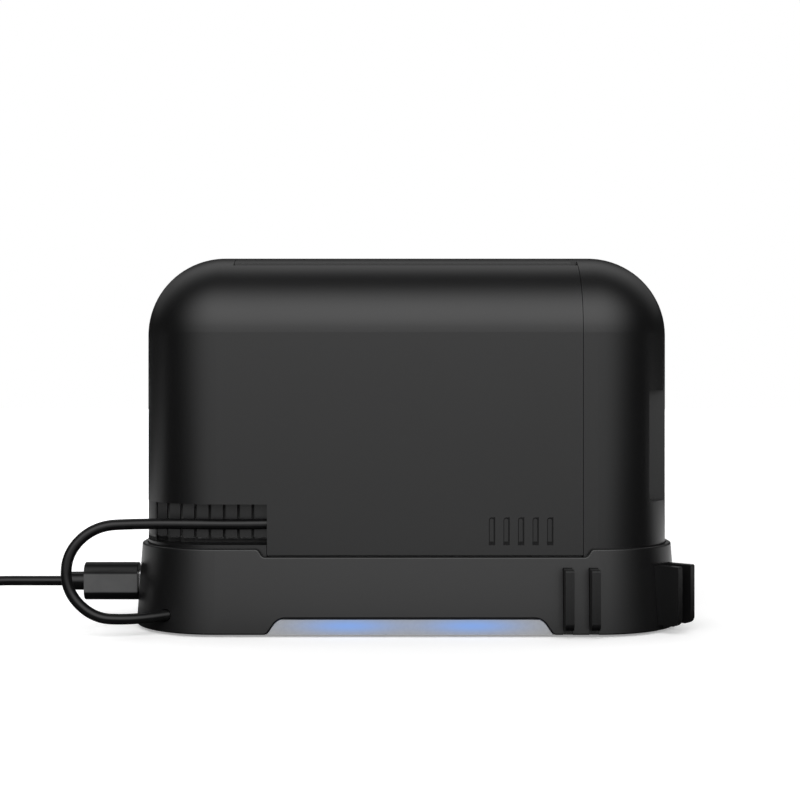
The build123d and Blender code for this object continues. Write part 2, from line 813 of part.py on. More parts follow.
board = block(board_x, (board_rear, board_front), board_z)
for x, z in main_boss_spots:
    board -= post_along_y(x, z, board_rear - over, board_front + over, screw_hole)
nodes["main_board"] = board
side_board = block(
    (side_board_left, side_board_right),
    (side_board_y, side_board_y + board_thickness),
    (side_port_middle - side_board_height / 2, side_port_middle + side_board_height / 2),
)
for x, z in side_boss_spots:
    side_board -= post_along_y(x, z, side_board_y - over, side_board_y + over + board_thickness, screw_hole)
nodes["side_board"] = side_board
nodes["board_screws"] = [board_screw(x, z, board_rear) for x, z in main_boss_spots]
nodes["board_screws"] += [board_screw(x, z, side_board_y) for x, z in side_boss_spots]
for name, port_z in zip(("side_port_lower", "side_port_upper"), side_port_spots):
    place = facing_right(pocket_wall_x, side_port_y, port_z)
    tongue_width = side_tongue_share * side_port_width
    tongue = (tongue_width, side_tongue_thickness, side_tongue_length_share * side_port_length)
    nodes[name] = place * socket(
        side_port_width, side_port_height, side_port_length, side_port_wall, *tongue
    )

fan_rear = shroud_rear + shroud_wall
fan_place = Plane(origin=(vent_centre_x, fan_rear, fan_z), x_dir=(1, 0, 0), z_dir=(0, 1, 0))
frame_block = Pos(0, 0, fan_depth / 2) * Box(fan_size, fan_size, fan_depth)
frame_block = fillet(frame_block.edges().filter_by(Axis.Z), pod_wall)
frame_block -= Pos(0, 0, fan_depth / 2) * Cylinder(fan_bore / 2, fan_depth + over)
strut_z = fan_depth - fan_strut / 2
frame_block += Pos(0, 0, strut_z) * Cylinder(fan_hub_diameter / 2, fan_strut)
for angle in (90, 210, 330):
    arm = Pos(fan_bore / 4, 0, strut_z) * Box(fan_bore / 2 + over, pod_wall, fan_strut)
    frame_block += Rot(0, 0, angle) * arm
shaft_length = fan_depth - 2 * fan_strut
frame_block += Pos(0, 0, fan_depth - shaft_length / 2) * Cylinder(fan_shaft_diameter / 2, shaft_length)
nodes["fan_frame"] = fan_place * frame_block

rotor_low = fan_strut / 2
rotor_high = fan_depth - fan_strut - fan_tip_gap
rotor_middle = (rotor_low + rotor_high) / 2
rotor_height = rotor_high - rotor_low
blade_tip = fan_bore / 2 - fan_tip_gap
rotor = Pos(0, 0, rotor_middle) * Cylinder(fan_hub_diameter / 2, rotor_height)
blade_ring = Pos(0, 0, rotor_middle) * Cylinder(blade_tip, rotor_height)
for index in range(blade_count):
    blade = Pos(blade_tip / 2, 0, rotor_middle) * Rot(blade_pitch_angle, 0, 0)
    blade = blade * Box(blade_tip, blade_thickness, 2 * rotor_height)
    rotor += (Rot(0, 0, index * 360 / blade_count) * blade) & blade_ring
bore_low = fan_depth - shaft_length - fan_tip_gap
rotor -= Pos(0, 0, (bore_low + fan_depth) / 2) * Cylinder(
    fan_shaft_diameter / 2 + pivot_play, fan_depth - bore_low
)
nodes["fan_rotor"] = fan_place * rotor

# Base shell
shell = base_body(0, base_bottom - over, rim_top + over)
shell -= Pos(0, 0, deck_top) * extrude(pod_plan(pod_clearance), base_rim_rise + 2 * over)
shell -= base_body(base_wall, base_bottom - 2 * over, deck_under)
shell -= block(whole_x, (0, far), (rim_top, far))
shell -= block(whole_x, (0, far), (-far, base_bottom))
shell -= stepped_cutter(
    rim_cut_left, rim_cut_right, rim_ramp, rim_top, rim_cut_top, rim_ramp_radius, rim_ramp_radius, far
)
light_level = base_bottom + light_height
shell -= stepped_cutter(
    -light_left_width,
    light_right_width,
    light_ramp,
    base_bottom,
    light_level,
    light_foot_radius,
    light_top_radius,
    -far,
)
rim_edges = [
    edge
    for edge in shell.edges()
    if edge.center().Z > rim_cut_top - over / 2 and on_base_wall(edge @ 0.5)
]
shell = fillet(rim_edges, rim_edge_radius)
foot_edges = [
    edge for edge in shell.edges() if edge.center().Z < light_level + over / 2 and on_base_wall(edge @ 0.5)
]
shell = fillet(foot_edges, foot_edge_radius)
base_boss_x = (half_width - base_boss_inset, base_boss_inner_share * half_width)
base_boss_y = front_face - base_boss_front_inset
base_screw_spots = [(sign * x, base_boss_y) for sign in (-1, 1) for x in base_boss_x]
for x, y in base_screw_spots:
    shell += post(x, y, base_floor_top, deck_under + over / 2, base_boss_diameter)
for x, y in base_screw_spots:
    shell -= post(x, y, base_bottom, base_bottom + floor_screw_length + pod_wall, floor_screw_hole)

# Holder rails: fins on a back plate inside the wall
rail_z = (base_bottom + rail_low_rise, base_bottom + rail_high_rise)
foot_half_depth = pod_depth / 2 + base_grow(base_bottom)
rear_spots = [rear_rail_x - rail_pitch / 2, rear_rail_x + rail_pitch / 2]
side_spots = [side_rail_shift - rail_pitch / 2, side_rail_shift + rail_pitch / 2]
tongue_z = (base_bottom + light_fit, rail_z[0] + over / 2)
wall_ring = base_body(light_fit, base_bottom, rim_top) - base_body(base_wall, base_bottom, rim_top)


def fin(inner, tip):
    """One upright fin that points along +X, with a rounded toe."""
    outline = make_face(
        Polyline((inner, rail_z[0]), (tip, rail_z[0]), (tip, rail_z[1]), (inner, rail_z[1]), close=True)
    )
    outer = outline.vertices().group_by(Axis.X)[-1].sort_by(Axis.Y)
    outline = fillet(outer[0], rail_toe_radius)
    outer = outline.vertices().group_by(Axis.Y)[-1].sort_by(Axis.X)
    outline = fillet(outer[-1], rail_head_radius)
    return extrude(Plane.XZ * outline, amount=rail_width / 2, both=True)


rear_plate_y = -(foot_half_depth - rail_plate_inset)
rear_rails = block(
    (rear_spots[0] - rail_width / 2, rear_spots[1] + rail_width / 2),
    (rear_plate_y - rail_plate_thickness, rear_plate_y),
    (base_floor_top, rail_z[1]),
)
for x in rear_spots:
    rear_rails += Pos(x, 0, 0) * Rot(0, 0, -90) * fin(-rear_plate_y, foot_half_depth + rear_rail_reach)
    rail_x = (x - rail_width / 2, x + rail_width / 2)
    rear_rails += wall_ring & block(rail_x, (-far, 0), tongue_z)
    slot_x = (rail_x[0] - rail_fit, rail_x[1] + rail_fit)
    shell -= block(slot_x, (-far, rear_plate_y), (-far, rail_z[1] + rail_fit))
nodes["rear_holder_rails"] = rear_rails

corner_radius = pod_corner_radius + base_grow(base_bottom)
corner_place = Pos(half_width - pod_corner_radius, rear_face + pod_corner_radius, 0)
corner_place *= Rot(0, 0, side_rail_angle - 90)
side_plate_x = corner_radius - rail_plate_inset
side_rails = corner_place * block(
    (side_plate_x, side_plate_x + rail_plate_thickness),
    (side_spots[0] - rail_width / 2, side_spots[1] + rail_width / 2),
    (base_floor_top, rail_z[1]),
)
for y in side_spots:
    side_rails += corner_place * Pos(0, y, 0) * fin(side_plate_x, corner_radius + side_rail_reach)
    fin_y = (y - rail_width / 2, y + rail_width / 2)
    side_rails += wall_ring & (corner_place * block((0, far), fin_y, tongue_z))
    slot_y = (fin_y[0] - rail_fit, fin_y[1] + rail_fit)
    shell -= corner_place * block((side_plate_x, far), slot_y, (-far, rail_z[1] + rail_fit))
nodes["side_holder_rails"] = side_rails

# Power inlet in the left wall, its board and the anchor of the link cord
inlet_z = base_bottom + inlet_rise
inlet_wall_x = -(half_width + base_grow(inlet_z))
inlet_place = facing_left(inlet_wall_x + inlet_setback, inlet_y, inlet_z)
nodes["power_inlet"] = inlet_place * round_socket()
opening = SlotOverall(socket_width + port_fit, socket_height + port_fit)
shell -= inlet_place * Pos(0, 0, far / 4) * extrude(opening, -(far / 4 + base_wall + over))
inlet_board_y = inlet_y + socket_height / 2
inlet_board_left = inlet_wall_x + inlet_setback + base_wall + 2 * over
nodes["base_board"] = block(
    (inlet_board_left, inlet_board_left + base_board_length),
    (inlet_board_y, inlet_board_y + board_thickness),
    (base_floor_top, base_floor_top + base_board_height),
)
link_outer = [(x - half_width, rear_face + y, base_bottom + z) for x, y, z in link_low_points]
link_outer += [(x - half_width, rear_face + y, power_port_z + z) for x, y, z in link_high_points]
link_start = Vector(*link_outer[0])
link_heading = (Vector(*link_outer[1]) - link_start).normalized()
hole_length = (Vector(*link_outer[2]) - link_start).length
hole_place = Plane(origin=link_start, z_dir=link_heading)
shell -= hole_place * Pos(0, 0, hole_length / 2) * Cylinder(
    link_cord_diameter / 2 + cord_hole_play, hole_length
)
anchor_place = Plane(
    origin=(link_start.X, link_start.Y, base_floor_top),
    x_dir=(link_heading.X, link_heading.Y, 0),
    z_dir=(0, 0, 1),
)
nodes["cord_anchor"] = anchor_place * Pos(-anchor_length / 2, 0, anchor_height / 2) * Box(
    anchor_length, anchor_width, anchor_height
)
nodes["base_shell"] = shell

# Base floor, mat, screws and light
floor_inset = light_inset + light_thickness + light_fit
base_floor = Pos(0, 0, base_bottom) * extrude(
    pod_plan(base_grow(base_bottom) - floor_inset), base_floor_thickness
)
pad_seat_plan = RectangleRounded(pad_width + 2 * light_fit, pad_depth + 2 * light_fit, pad_corner)
base_floor -= Pos(0, 0, base_bottom - over) * extrude(pad_seat_plan, pad_seat + over)
for x, y in base_screw_spots:
    head_seat = floor_screw_head_diameter + 4 * screw_play
    base_floor -= post(x, y, base_bottom - over, base_bottom + screw_head_height, head_seat)
    base_floor -= post(x, y, base_bottom, base_floor_top + over, floor_screw_hole)
nodes["base_floor"] = base_floor
nodes["base_pad"] = extrude(RectangleRounded(pad_width, pad_depth, pad_corner), pad_stand + pad_seat)
nodes["base_screws"] = [
    Pos(x, y, base_bottom + screw_head_height)
    * screw(floor_screw_diameter, floor_screw_head_diameter, floor_screw_length)
    for x, y in base_screw_spots
]
light_bar = base_body(light_inset, base_bottom, rim_top)
light_bar -= base_body(light_inset + light_thickness, base_bottom - over, rim_top + over)
light_bar &= stepped_cutter(
    -light_left_width + light_fit,
    light_right_width - light_fit,
    light_ramp,
    base_bottom - light_fit,
    light_level - light_fit,
    light_foot_radius,
    light_top_radius,
    -far,
)
nodes["light_bar"] = light_bar
led_board_rear = -(foot_half_depth - light_inset - light_thickness - led_gap)
nodes["led_board"] = block(
    (-led_board_width / 2, led_board_width / 2),
    (led_board_rear, led_board_rear + led_board_thickness),
    (base_floor_top, base_floor_top + led_board_height),
)
led_low = base_floor_top + (led_board_height - led_height) / 4
for name, middle in (("led_left", -led_spread / 2), ("led_right", led_spread / 2)):
    nodes[name] = block(
        (middle - led_width / 2, middle + led_width / 2),
        (led_board_rear - led_depth, led_board_rear),
        (led_low, led_low + led_height),
    )

# Link cord from the base to the pod's power port
link_place = facing_right(shroud_left - link_plug_gap, power_port_y, power_port_z)
nodes["link_plug_nose"] = link_place * round_nose()
nodes["link_plug_body"] = link_place * plug_body(link_plug_width, link_plug_thickness, link_plug_length)
nodes["link_plug_boot"] = link_place * plug_boot(
    link_plug_length, link_boot_diameter, link_boot_tip_diameter
)
link_end_x = shroud_left - link_plug_gap - link_plug_length - boot_length
bay_x, bay_y, bay_z = link_bay_start
bay_point = Vector(notch_right + bay_x, rear_face + bay_y, power_port_z + bay_z)
link_last = Vector(link_end_x - link_end_run, power_port_y, power_port_z)
link_route = link_outer + [tuple(bay_point)]
for along, across in link_bay_shares:
    x = bay_point.X + along * (link_last.X - bay_point.X)
    y = bay_point.Y + across * (link_last.Y - bay_point.Y)
    link_route.append((x, y, bay_point.Z + bay_z))
link_route += [tuple(link_last), (link_end_x, power_port_y, power_port_z)]
nodes["link_cable"] = cord_tube("link_cable", link_route, link_cord_diameter)

# Power lead with a plug at each end, and its spare length in a coil
plug_face_x = inlet_wall_x - plug_gap
power_place = facing_right(plug_face_x, inlet_y, inlet_z)
nodes["power_plug_nose"] = power_place * round_nose()
nodes["power_plug_body"] = power_place * plug_body(plug_width, plug_thickness, plug_length)
nodes["power_plug_boot"] = power_place * plug_boot(plug_length, boot_diameter, boot_tip_diameter)
power_start_x = plug_face_x - plug_length - boot_length
coil_entry_z = coil_lift + turn_pitch / 2
coil_entry_x = power_start_x - coil_entry_run
coil_entry_y = inlet_y + coil_entry_shift
drop = inlet_z - coil_entry_z
power_route = [
    (power_start_x, inlet_y, inlet_z),
    (power_start_x - power_first_run, inlet_y, inlet_z),
]
for run, shift, share in power_points:
    power_route.append((power_start_x - run, inlet_y + shift, coil_entry_z + share * drop))
power_route += [
    (coil_entry_x + power_last_run, coil_entry_y, coil_entry_z),
    (coil_entry_x, coil_entry_y, coil_entry_z),
]
nodes["power_cord"] = cord_tube("power_cord", power_route, power_cord_diameter)

coil_half_width = (coil_columns * turn_pitch) / 2
coil_height = coil_layers * turn_pitch
coil_outer_turn = coil_mean_diameter / 2 + coil_half_width - turn_pitch / 2
entry = Vector(coil_entry_x, coil_entry_y, coil_entry_z)
coil_x = entry.X - coil_lead
coil_y = entry.Y - coil_outer_turn
coil_place = Pos(coil_x, coil_y, coil_lift)
ring_section = Pos(coil_mean_diameter / 2, coil_height / 2) * Rectangle(2 * coil_half_width, coil_height)
ring_section = chamfer(ring_section.vertices(), turn_pitch / 3)
ring = revolve(Plane.XZ * ring_section, Axis.Z)
coil = coil_place * ring
lead = Plane(origin=entry, z_dir=(-1, 0, 0)) * extrude(Circle(power_cord_diameter / 2), coil_lead)
exit_z = plug_thickness / 2
exit_point = Vector(coil_x + coil_tail, coil_y - coil_outer_turn, exit_z)
tail = Plane(origin=exit_point, z_dir=(-1, 0, 0)) * extrude(Circle(power_cord_diameter / 2), coil_tail)
nodes["power_cord_coil"] = coil + lead + tail
tie_half = coil_half_width + tie_side_gap
tie_z = (-tie_gap, coil_height + tie_gap)
tie_middle = -coil_mean_diameter / 2
tie_inner = block((tie_middle - tie_half, tie_middle + tie_half), (-tie_width, tie_width), tie_z)
tie = block(
    (tie_middle - tie_half - tie_thickness, tie_middle + tie_half + tie_thickness),
    (-tie_width / 2, tie_width / 2),
    (tie_z[0] - tie_thickness, tie_z[1] + tie_thickness),
)
nodes["coil_tie"] = coil_place * (tie - tie_inner)
far_face = exit_point + Vector(boot_length + plug_length, 0, 0)
far_place = Plane(origin=far_face, x_dir=(0, 1, 0), z_dir=(1, 0, 0))
nodes["far_plug_nose"] = far_place * round_nose()
nodes["far_plug_body"] = far_place * plug_body(plug_width, plug_thickness, plug_length)
nodes["far_plug_boot"] = far_place * plug_boot(plug_length, boot_diameter, boot_tip_diameter)

os.makedirs("parts", exist_ok=True)
for name, shape in nodes.items():
    solids = shape if isinstance(shape, list) else shape.solids()
    export_step(Compound(children=list(solids)) if len(solids) > 1 else solids[0], f"parts/{name}.step")
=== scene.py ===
"""Looks of a docking pod on its lit base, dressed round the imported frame.

Every size is in metres, in the frame's own axes: X to the right seen from the rear, Y from the
rear to the front plate, Z up from the table.
"""

import logging
import math
from dataclasses import dataclass
from enum import Enum
from typing import Any, Callable, Iterable, Mapping, Sequence, Union

import bmesh
import bpy
from bpy.types import ID, Material, Mesh, Node, NodeSocket as Socket, NodeTree, Object
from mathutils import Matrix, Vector


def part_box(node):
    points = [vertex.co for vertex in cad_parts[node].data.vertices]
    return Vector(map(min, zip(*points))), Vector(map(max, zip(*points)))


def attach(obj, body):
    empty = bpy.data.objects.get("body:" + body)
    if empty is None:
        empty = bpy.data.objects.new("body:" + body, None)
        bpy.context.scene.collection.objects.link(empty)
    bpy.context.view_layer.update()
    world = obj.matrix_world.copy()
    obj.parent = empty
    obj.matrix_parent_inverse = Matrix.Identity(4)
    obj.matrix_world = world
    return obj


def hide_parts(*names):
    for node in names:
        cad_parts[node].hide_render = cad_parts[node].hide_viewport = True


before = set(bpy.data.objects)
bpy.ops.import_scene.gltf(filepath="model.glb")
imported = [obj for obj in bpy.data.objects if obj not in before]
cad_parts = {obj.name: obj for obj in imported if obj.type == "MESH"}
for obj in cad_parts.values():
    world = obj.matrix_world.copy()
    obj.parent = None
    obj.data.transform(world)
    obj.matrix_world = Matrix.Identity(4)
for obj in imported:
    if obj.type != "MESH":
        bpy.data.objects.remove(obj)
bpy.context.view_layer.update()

Colour = tuple[float, float, float]
Point = tuple[float, float, float]
Span = tuple[float, float]
Options = Mapping[Any, Any] | None
Number = Union[int, float, "Field"]

LOG = logging.getLogger("docking_pod")
MM = 0.001
CRISP = 0.1 * MM
MERGE_REACH = 1e-6
FULL_TURN = 360.0
STILL: Point = (0.0, 0.0, 0.0)
UNLIT: Colour = (0.0, 0.0, 0.0)
WHITE: Colour = (1.0, 1.0, 1.0)
BLACK: Colour = (0.004, 0.004, 0.0042)
DARK_GREY: Colour = (0.03, 0.03, 0.0306)


def mm(*sizes: float) -> tuple[float, ...]:
    """Sizes given in millimetres, in metres."""
    return tuple(size * MM for size in sizes)


def arc(span: Span) -> Span:
    """A span given in degrees, in radians."""
    return math.radians(span[0]), math.radians(span[1])


def grey(level: float) -> Colour:
    """A neutral colour."""
    return level, level, level


def toned(colour: Colour, share: float, lift: float = 0.0) -> Colour:
    """A colour made darker or paler by a share, then lifted."""
    return tuple(part * share + lift for part in colour)


class Body(Enum):
    """The frame's bodies that new pieces ride on."""

    DOCK = "dock"
    CONNECTOR = "connector"


class Slot(Enum):
    """The record's material slots; no piece here takes its finish from them."""

    SOFT_BLACK = "soft_black"
    CORD_SHEATH = "cord_sheath"
    BARE_STEEL = "bare_steel"
    PORT_MOULDING = "port_moulding"


def math_node(operation: str, swapped: bool = False) -> Callable[..., "Field"]:
    """A method of Field that adds one Math node.

    Args:
        operation: The node's operation.
        swapped: Whether the other value comes first.

    Returns:
        The method.
    """

    def method(self: "Field", other: Number = 0.0) -> "Field":
        """The node's result."""
        inputs = {0: other, 1: self} if swapped else {0: self, 1: other}
        return self.desk.field("ShaderNodeMath", inputs, operation=operation)

    return method


class Field:
    """A number that varies over a surface; its operators add Math nodes."""

    __add__ = __radd__ = math_node("ADD")
    __sub__ = math_node("SUBTRACT")
    __rsub__ = math_node("SUBTRACT", swapped=True)
    __mul__ = __rmul__ = math_node("MULTIPLY")
    __truediv__ = math_node("DIVIDE")
    __pow__ = math_node("POWER")
    above = math_node("MAXIMUM")
    below = math_node("MINIMUM")
    size = math_node("ABSOLUTE")
    whole = math_node("FLOOR")
    wave = math_node("SINE")
    exponential = math_node("EXPONENT")
    arcsine = math_node("ARCSINE")
    bearing = math_node("ARCTAN2")

    def __init__(self, desk: "Desk", socket: Socket) -> None:
        """Wraps one output socket of a desk's tree."""
        self.desk = desk
        self.socket = socket

    def __neg__(self) -> "Field":
        """Value with its sign turned."""
        return self * -1.0

    def cell(self) -> "Field":
        """Place within a repeat of one, from -0.5 to 0.5."""
        return (self - self.whole()) - 0.5

    def ramp(self, low: float, high: float) -> "Field":
        """Smooth step from 0 to 1 between two values."""
        inputs = {"Value": self, "From Min": low, "From Max": high}
        return self.desk.field("ShaderNodeMapRange", inputs, interpolation_type="SMOOTHSTEP")

    def step(self, level: float) -> "Field":
        """Crisp step from 0 to 1 at a level."""
        return self.ramp(level - CRISP, level + CRISP)

    def between(self, rise: Span, fall: Span) -> "Field":
        """Smooth step up over one span and down again over another."""
        return self.ramp(*rise) * (1.0 - self.ramp(*fall))


class Desk:
    """Builds one node tree, for a material or for the world."""

    def __init__(self, tree: NodeTree) -> None:
        """Empties the tree and starts on it."""
        self.tree = tree
        tree.nodes.clear()

    def feed(self, target: Socket, value: Any) -> None:
        """Links or sets one input.

        Args:
            target: The input's socket.
            value: A Field or a socket to link, or a plain value to set.
        """
        source = value.socket if isinstance(value, Field) else value
        if isinstance(source, Socket):
            self.tree.links.new(source, target)
        else:
            target.default_value = source

    def node(self, kind: str, inputs: Options = None, **settings: Any) -> Node:
        """Adds a node.

        Args:
            kind: The node's type.
            inputs: Socket name or index to a value, a Field or a socket.
            settings: Its properties, set before its sockets.

        Returns:
            The node.
        """
        made = self.tree.nodes.new(kind)
        for name, value in settings.items():
            setattr(made, name, value)
        for name, value in (inputs or {}).items():
            self.feed(made.inputs[name], value)
        return made

    def out(self, kind: str, inputs: Options = None, **settings: Any) -> Socket:
        """Adds a node and gives its first output."""
        return self.node(kind, inputs, **settings).outputs[0]

    def field(self, kind: str, inputs: Options = None, **settings: Any) -> Field:
        """Adds a node and gives its first output as a value."""
        return Field(self, self.out(kind, inputs, **settings))

    def place(self, kind: str = "Object") -> Socket:
        """Coordinates of the surface or of the sky."""
        return self.node("ShaderNodeTexCoord").outputs[kind]

    def axes(self, kind: str = "Object") -> list[Field]:
        """Coordinates as three values."""
        parts = self.node("ShaderNodeSeparateXYZ", {0: self.place(kind)}).outputs
        return [Field(self, part) for part in parts]

    def rays(self) -> tuple[Field, Field]:
        """Tells the camera's own rays from those mirrored or let through.

        Returns:
            Whether a ray is the camera's and whether it was mirrored, each 0 or 1.
        """
        path = self.node("ShaderNodeLightPath").outputs
        names = ("Is Camera Ray", "Is Glossy Ray", "Is Transmission Ray")
        seen, glossy, passed = (Field(self, path[name]) for name in names)
        return seen, glossy.above(passed)

    def noise(self, scale: float, detail: float = 2.0, rough: float = 0.5) -> Field:
        """Noise from 0 to 1, with its scale in cells to the metre."""
        inputs = {"Vector": self.place(), "Scale": scale, "Detail": detail, "Roughness": rough}
        return self.field("ShaderNodeTexNoise", inputs)

    def blend(self, share: Number, first: Any, second: Any) -> Socket:
        """Mixes two colours.

        Args:
            share: How much of the second colour.
            first: A colour or a colour socket.
            second: A colour or a colour socket.

        Returns:
            The mixed colour's socket.
        """
        made = self.node("ShaderNodeMix", data_type="RGBA")
        targets = [socket for socket in made.inputs if socket.enabled]
        for target, value in zip(targets, (share, first, second)):
            self.feed(target, (*value, 1.0) if isinstance(value, tuple) else value)
        return next(socket for socket in made.outputs if socket.enabled)

    def bump(self, height: Field, depth: float, strength: float) -> Socket:
        """The normal of a height from 0 to 1 that stands for a depth in metres."""
        inputs = {"Strength": strength, "Distance": depth, "Height": height}
        return self.out("ShaderNodeBump", inputs)

    def surface(self, colour: Socket, roughness: Number, **inputs: Any) -> None:
        """Adds the main shader and the output.

        Args:
            colour: Its base colour.
            roughness: Its roughness.
            inputs: Its other sockets, named with _ for a space.
        """
        named = {name.replace("_", " "): value for name, value in inputs.items()}
        named |= {"Base Color": colour, "Roughness": roughness}
        shader = self.out("ShaderNodeBsdfPrincipled", named)
        self.node("ShaderNodeOutputMaterial", {"Surface": shader})


class ShapeTree(Desk):
    """Builds one Geometry Nodes tree whose sizes are named inputs."""

    def __init__(self, name: str, sizes: Mapping[str, float]) -> None:
        """Starts a tree.

        Args:
            name: The tree's name.
            sizes: Each named input and its value, in metres.
        """
        super().__init__(bpy.data.node_groups.new(name, "GeometryNodeTree"))
        self.name = name
        self.sizes = dict(sizes)
        self.keys: dict[str, str] = {}
        face = self.tree.interface
        for way in ("INPUT", "OUTPUT"):
            face.new_socket("Geometry", in_out=way, socket_type="NodeSocketGeometry")
        for label in sizes:
            made = face.new_socket(label, in_out="INPUT", socket_type="NodeSocketFloat")
            self.keys[label] = made.identifier
        self.entry = self.node("NodeGroupInput")

    def given(self) -> Socket:
        """The geometry that the tree starts from."""
        return self.entry.outputs["Geometry"]

    def fields(self) -> list[Field]:
        """The named inputs as values, in order."""
        return [Field(self, self.entry.outputs[label]) for label in self.sizes]

    def vector(self, *parts: Number) -> Socket:
        """Joins three values into a vector."""
        return self.out("ShaderNodeCombineXYZ", dict(enumerate(parts)))

    def block(self, *sides: Number) -> Socket:
        """A box of three sides about its middle."""
        return self.out("GeometryNodeMeshCube", {"Size": self.vector(*sides)})

    def turned(self, foot: Number, top: Number, height: Number, sides: int = 28) -> Socket:
        """A round that stands on z = 0, with a radius at its foot and one at its top."""
        inputs = {"Vertices": sides, "Radius Bottom": foot, "Radius Top": top, "Depth": height}
        return self.out("GeometryNodeMeshCone", inputs)

    def shifted(self, shape: Socket, place: Any, turn: Point = STILL) -> Socket:
        """A shape moved to a place, and turned by radians about each axis."""
        inputs = {"Geometry": shape, "Translation": place, "Rotation": turn}
        return self.out("GeometryNodeTransform", inputs)

    def merged(self, *shapes: Socket) -> Socket:
        """Solids fused into one skin.

        Args:
            shapes: The solids.

        Returns:
            The fused solid.
        """
        fuse = self.node("GeometryNodeMeshBoolean", operation="UNION", solver="EXACT")
        for shape in shapes:
            self.feed(fuse.inputs["Mesh 2"], shape)
        return fuse.outputs[0]

    def cut(self, shape: Socket, tool: Socket) -> Socket:
        """A shape less another."""
        settings = {"operation": "DIFFERENCE", "solver": "EXACT"}
        return self.out("GeometryNodeMeshBoolean", {0: shape, 1: tool}, **settings)

    def line(self, count: int, step: Any, start: Any = STILL) -> Socket:
        """A count of points, one step apart from a start."""
        inputs = {"Count": count, "Start Location": start, "Offset": step}
        return self.out("GeometryNodeMeshLine", inputs, mode="OFFSET")

    def repeated(self, points: Socket, shape: Socket) -> Socket:
        """A shape on every point."""
        return self.out("GeometryNodeInstanceOnPoints", {"Points": points, "Instance": shape})

    def mesh(self, shape: Socket, material: Material, seed: Mesh) -> Mesh:
        """Closes the tree and runs it once.

        Args:
            shape: What the tree makes.
            material: Its finish.
            seed: The geometry that the tree starts from, used up here.

        Returns:
            The result as a plain mesh.
        """
        real = self.out("GeometryNodeRealizeInstances", {"Geometry": shape})
        painted = self.out("GeometryNodeSetMaterial", {"Geometry": real, "Material": material})
        self.node("NodeGroupOutput", {0: painted})
        holder = placed(f"{self.name}_maker", seed)
        modifier = holder.modifiers.new("shape", "NODES")
        modifier.node_group = self.tree
        for label, value in self.sizes.items():
            modifier[self.keys[label]] = value
        graph = bpy.context.evaluated_depsgraph_get()
        made = bpy.data.meshes.new_from_object(holder.evaluated_get(graph))
        made.name = self.name
        bpy.data.objects.remove(holder)
        bpy.data.meshes.remove(seed)
        return made


def placed(name: str, data: ID) -> Object:
    """Puts a new object into the scene.

    Args:
        name: The object's name.
        data: Its mesh, curve or camera.

    Returns:
        The object.
    """
    made = bpy.data.objects.new(name, data)
    bpy.context.scene.collection.objects.link(made)
    return made


def coat(data: ID, material: Material) -> None:
    """Gives a mesh or a curve one finish."""
    data.materials.clear()
    data.materials.append(material)


@dataclass(frozen=True)
class Finish:
    """A named finish; each kind paints its own tree of nodes."""

    name: str

    def material(self) -> Material:
        """Builds the finish.

        Returns:
            The material.
        """
        made = bpy.data.materials.new(self.name)
        made.use_nodes = True
        self.paint(Desk(made.node_tree))
        return made

    def paint(self, desk: Desk) -> None:
        """Fills the tree."""
        raise NotImplementedError


@dataclass(frozen=True)
class MouldedPlastic(Finish):
    """Spark-eroded plastic: an even fine grain, with faint cloudy changes of tone."""

    colour: Colour = BLACK
    roughness: float = 0.32
    specular: float = 0.445
    grain: float = 2400.0
    grain_depth: float = 0.03 * MM
    cloud: float = 26.0
    speck_share: float = 0.31
    tone_span: Span = (0.36, 0.64)
    pale_share: float = 1.07
    dark_share: float = 0.93

    def textures(self, desk: Desk) -> tuple[Field, Field]:
        """The cloudy and the grainy noise of the plastic."""
        return desk.noise(self.cloud, 3.0), desk.noise(self.grain, 2.0, 0.6)

    def plain(self, cloud: Field, grain: Field) -> Field:
        """Roughness of an open face."""
        return self.roughness - 0.04 + cloud * 0.05 + grain * 0.04

    def paint(self, desk: Desk) -> None:
        """Fills the tree."""
        cloud, grain = self.textures(desk)
        speck = desk.noise(self.grain * self.speck_share, 1.0)
        tone = (cloud * 0.5 + grain * 0.3 + speck * 0.2).ramp(*self.tone_span)
        dark, pale = toned(self.colour, self.dark_share), toned(self.colour, self.pale_share)
        desk.surface(
            desk.blend(tone, dark, pale),
            self.plain(cloud, grain),
            Specular_IOR_Level=self.specular,
            Normal=desk.bump(grain * 0.7 + speck * 0.3, self.grain_depth, 0.5),
        )


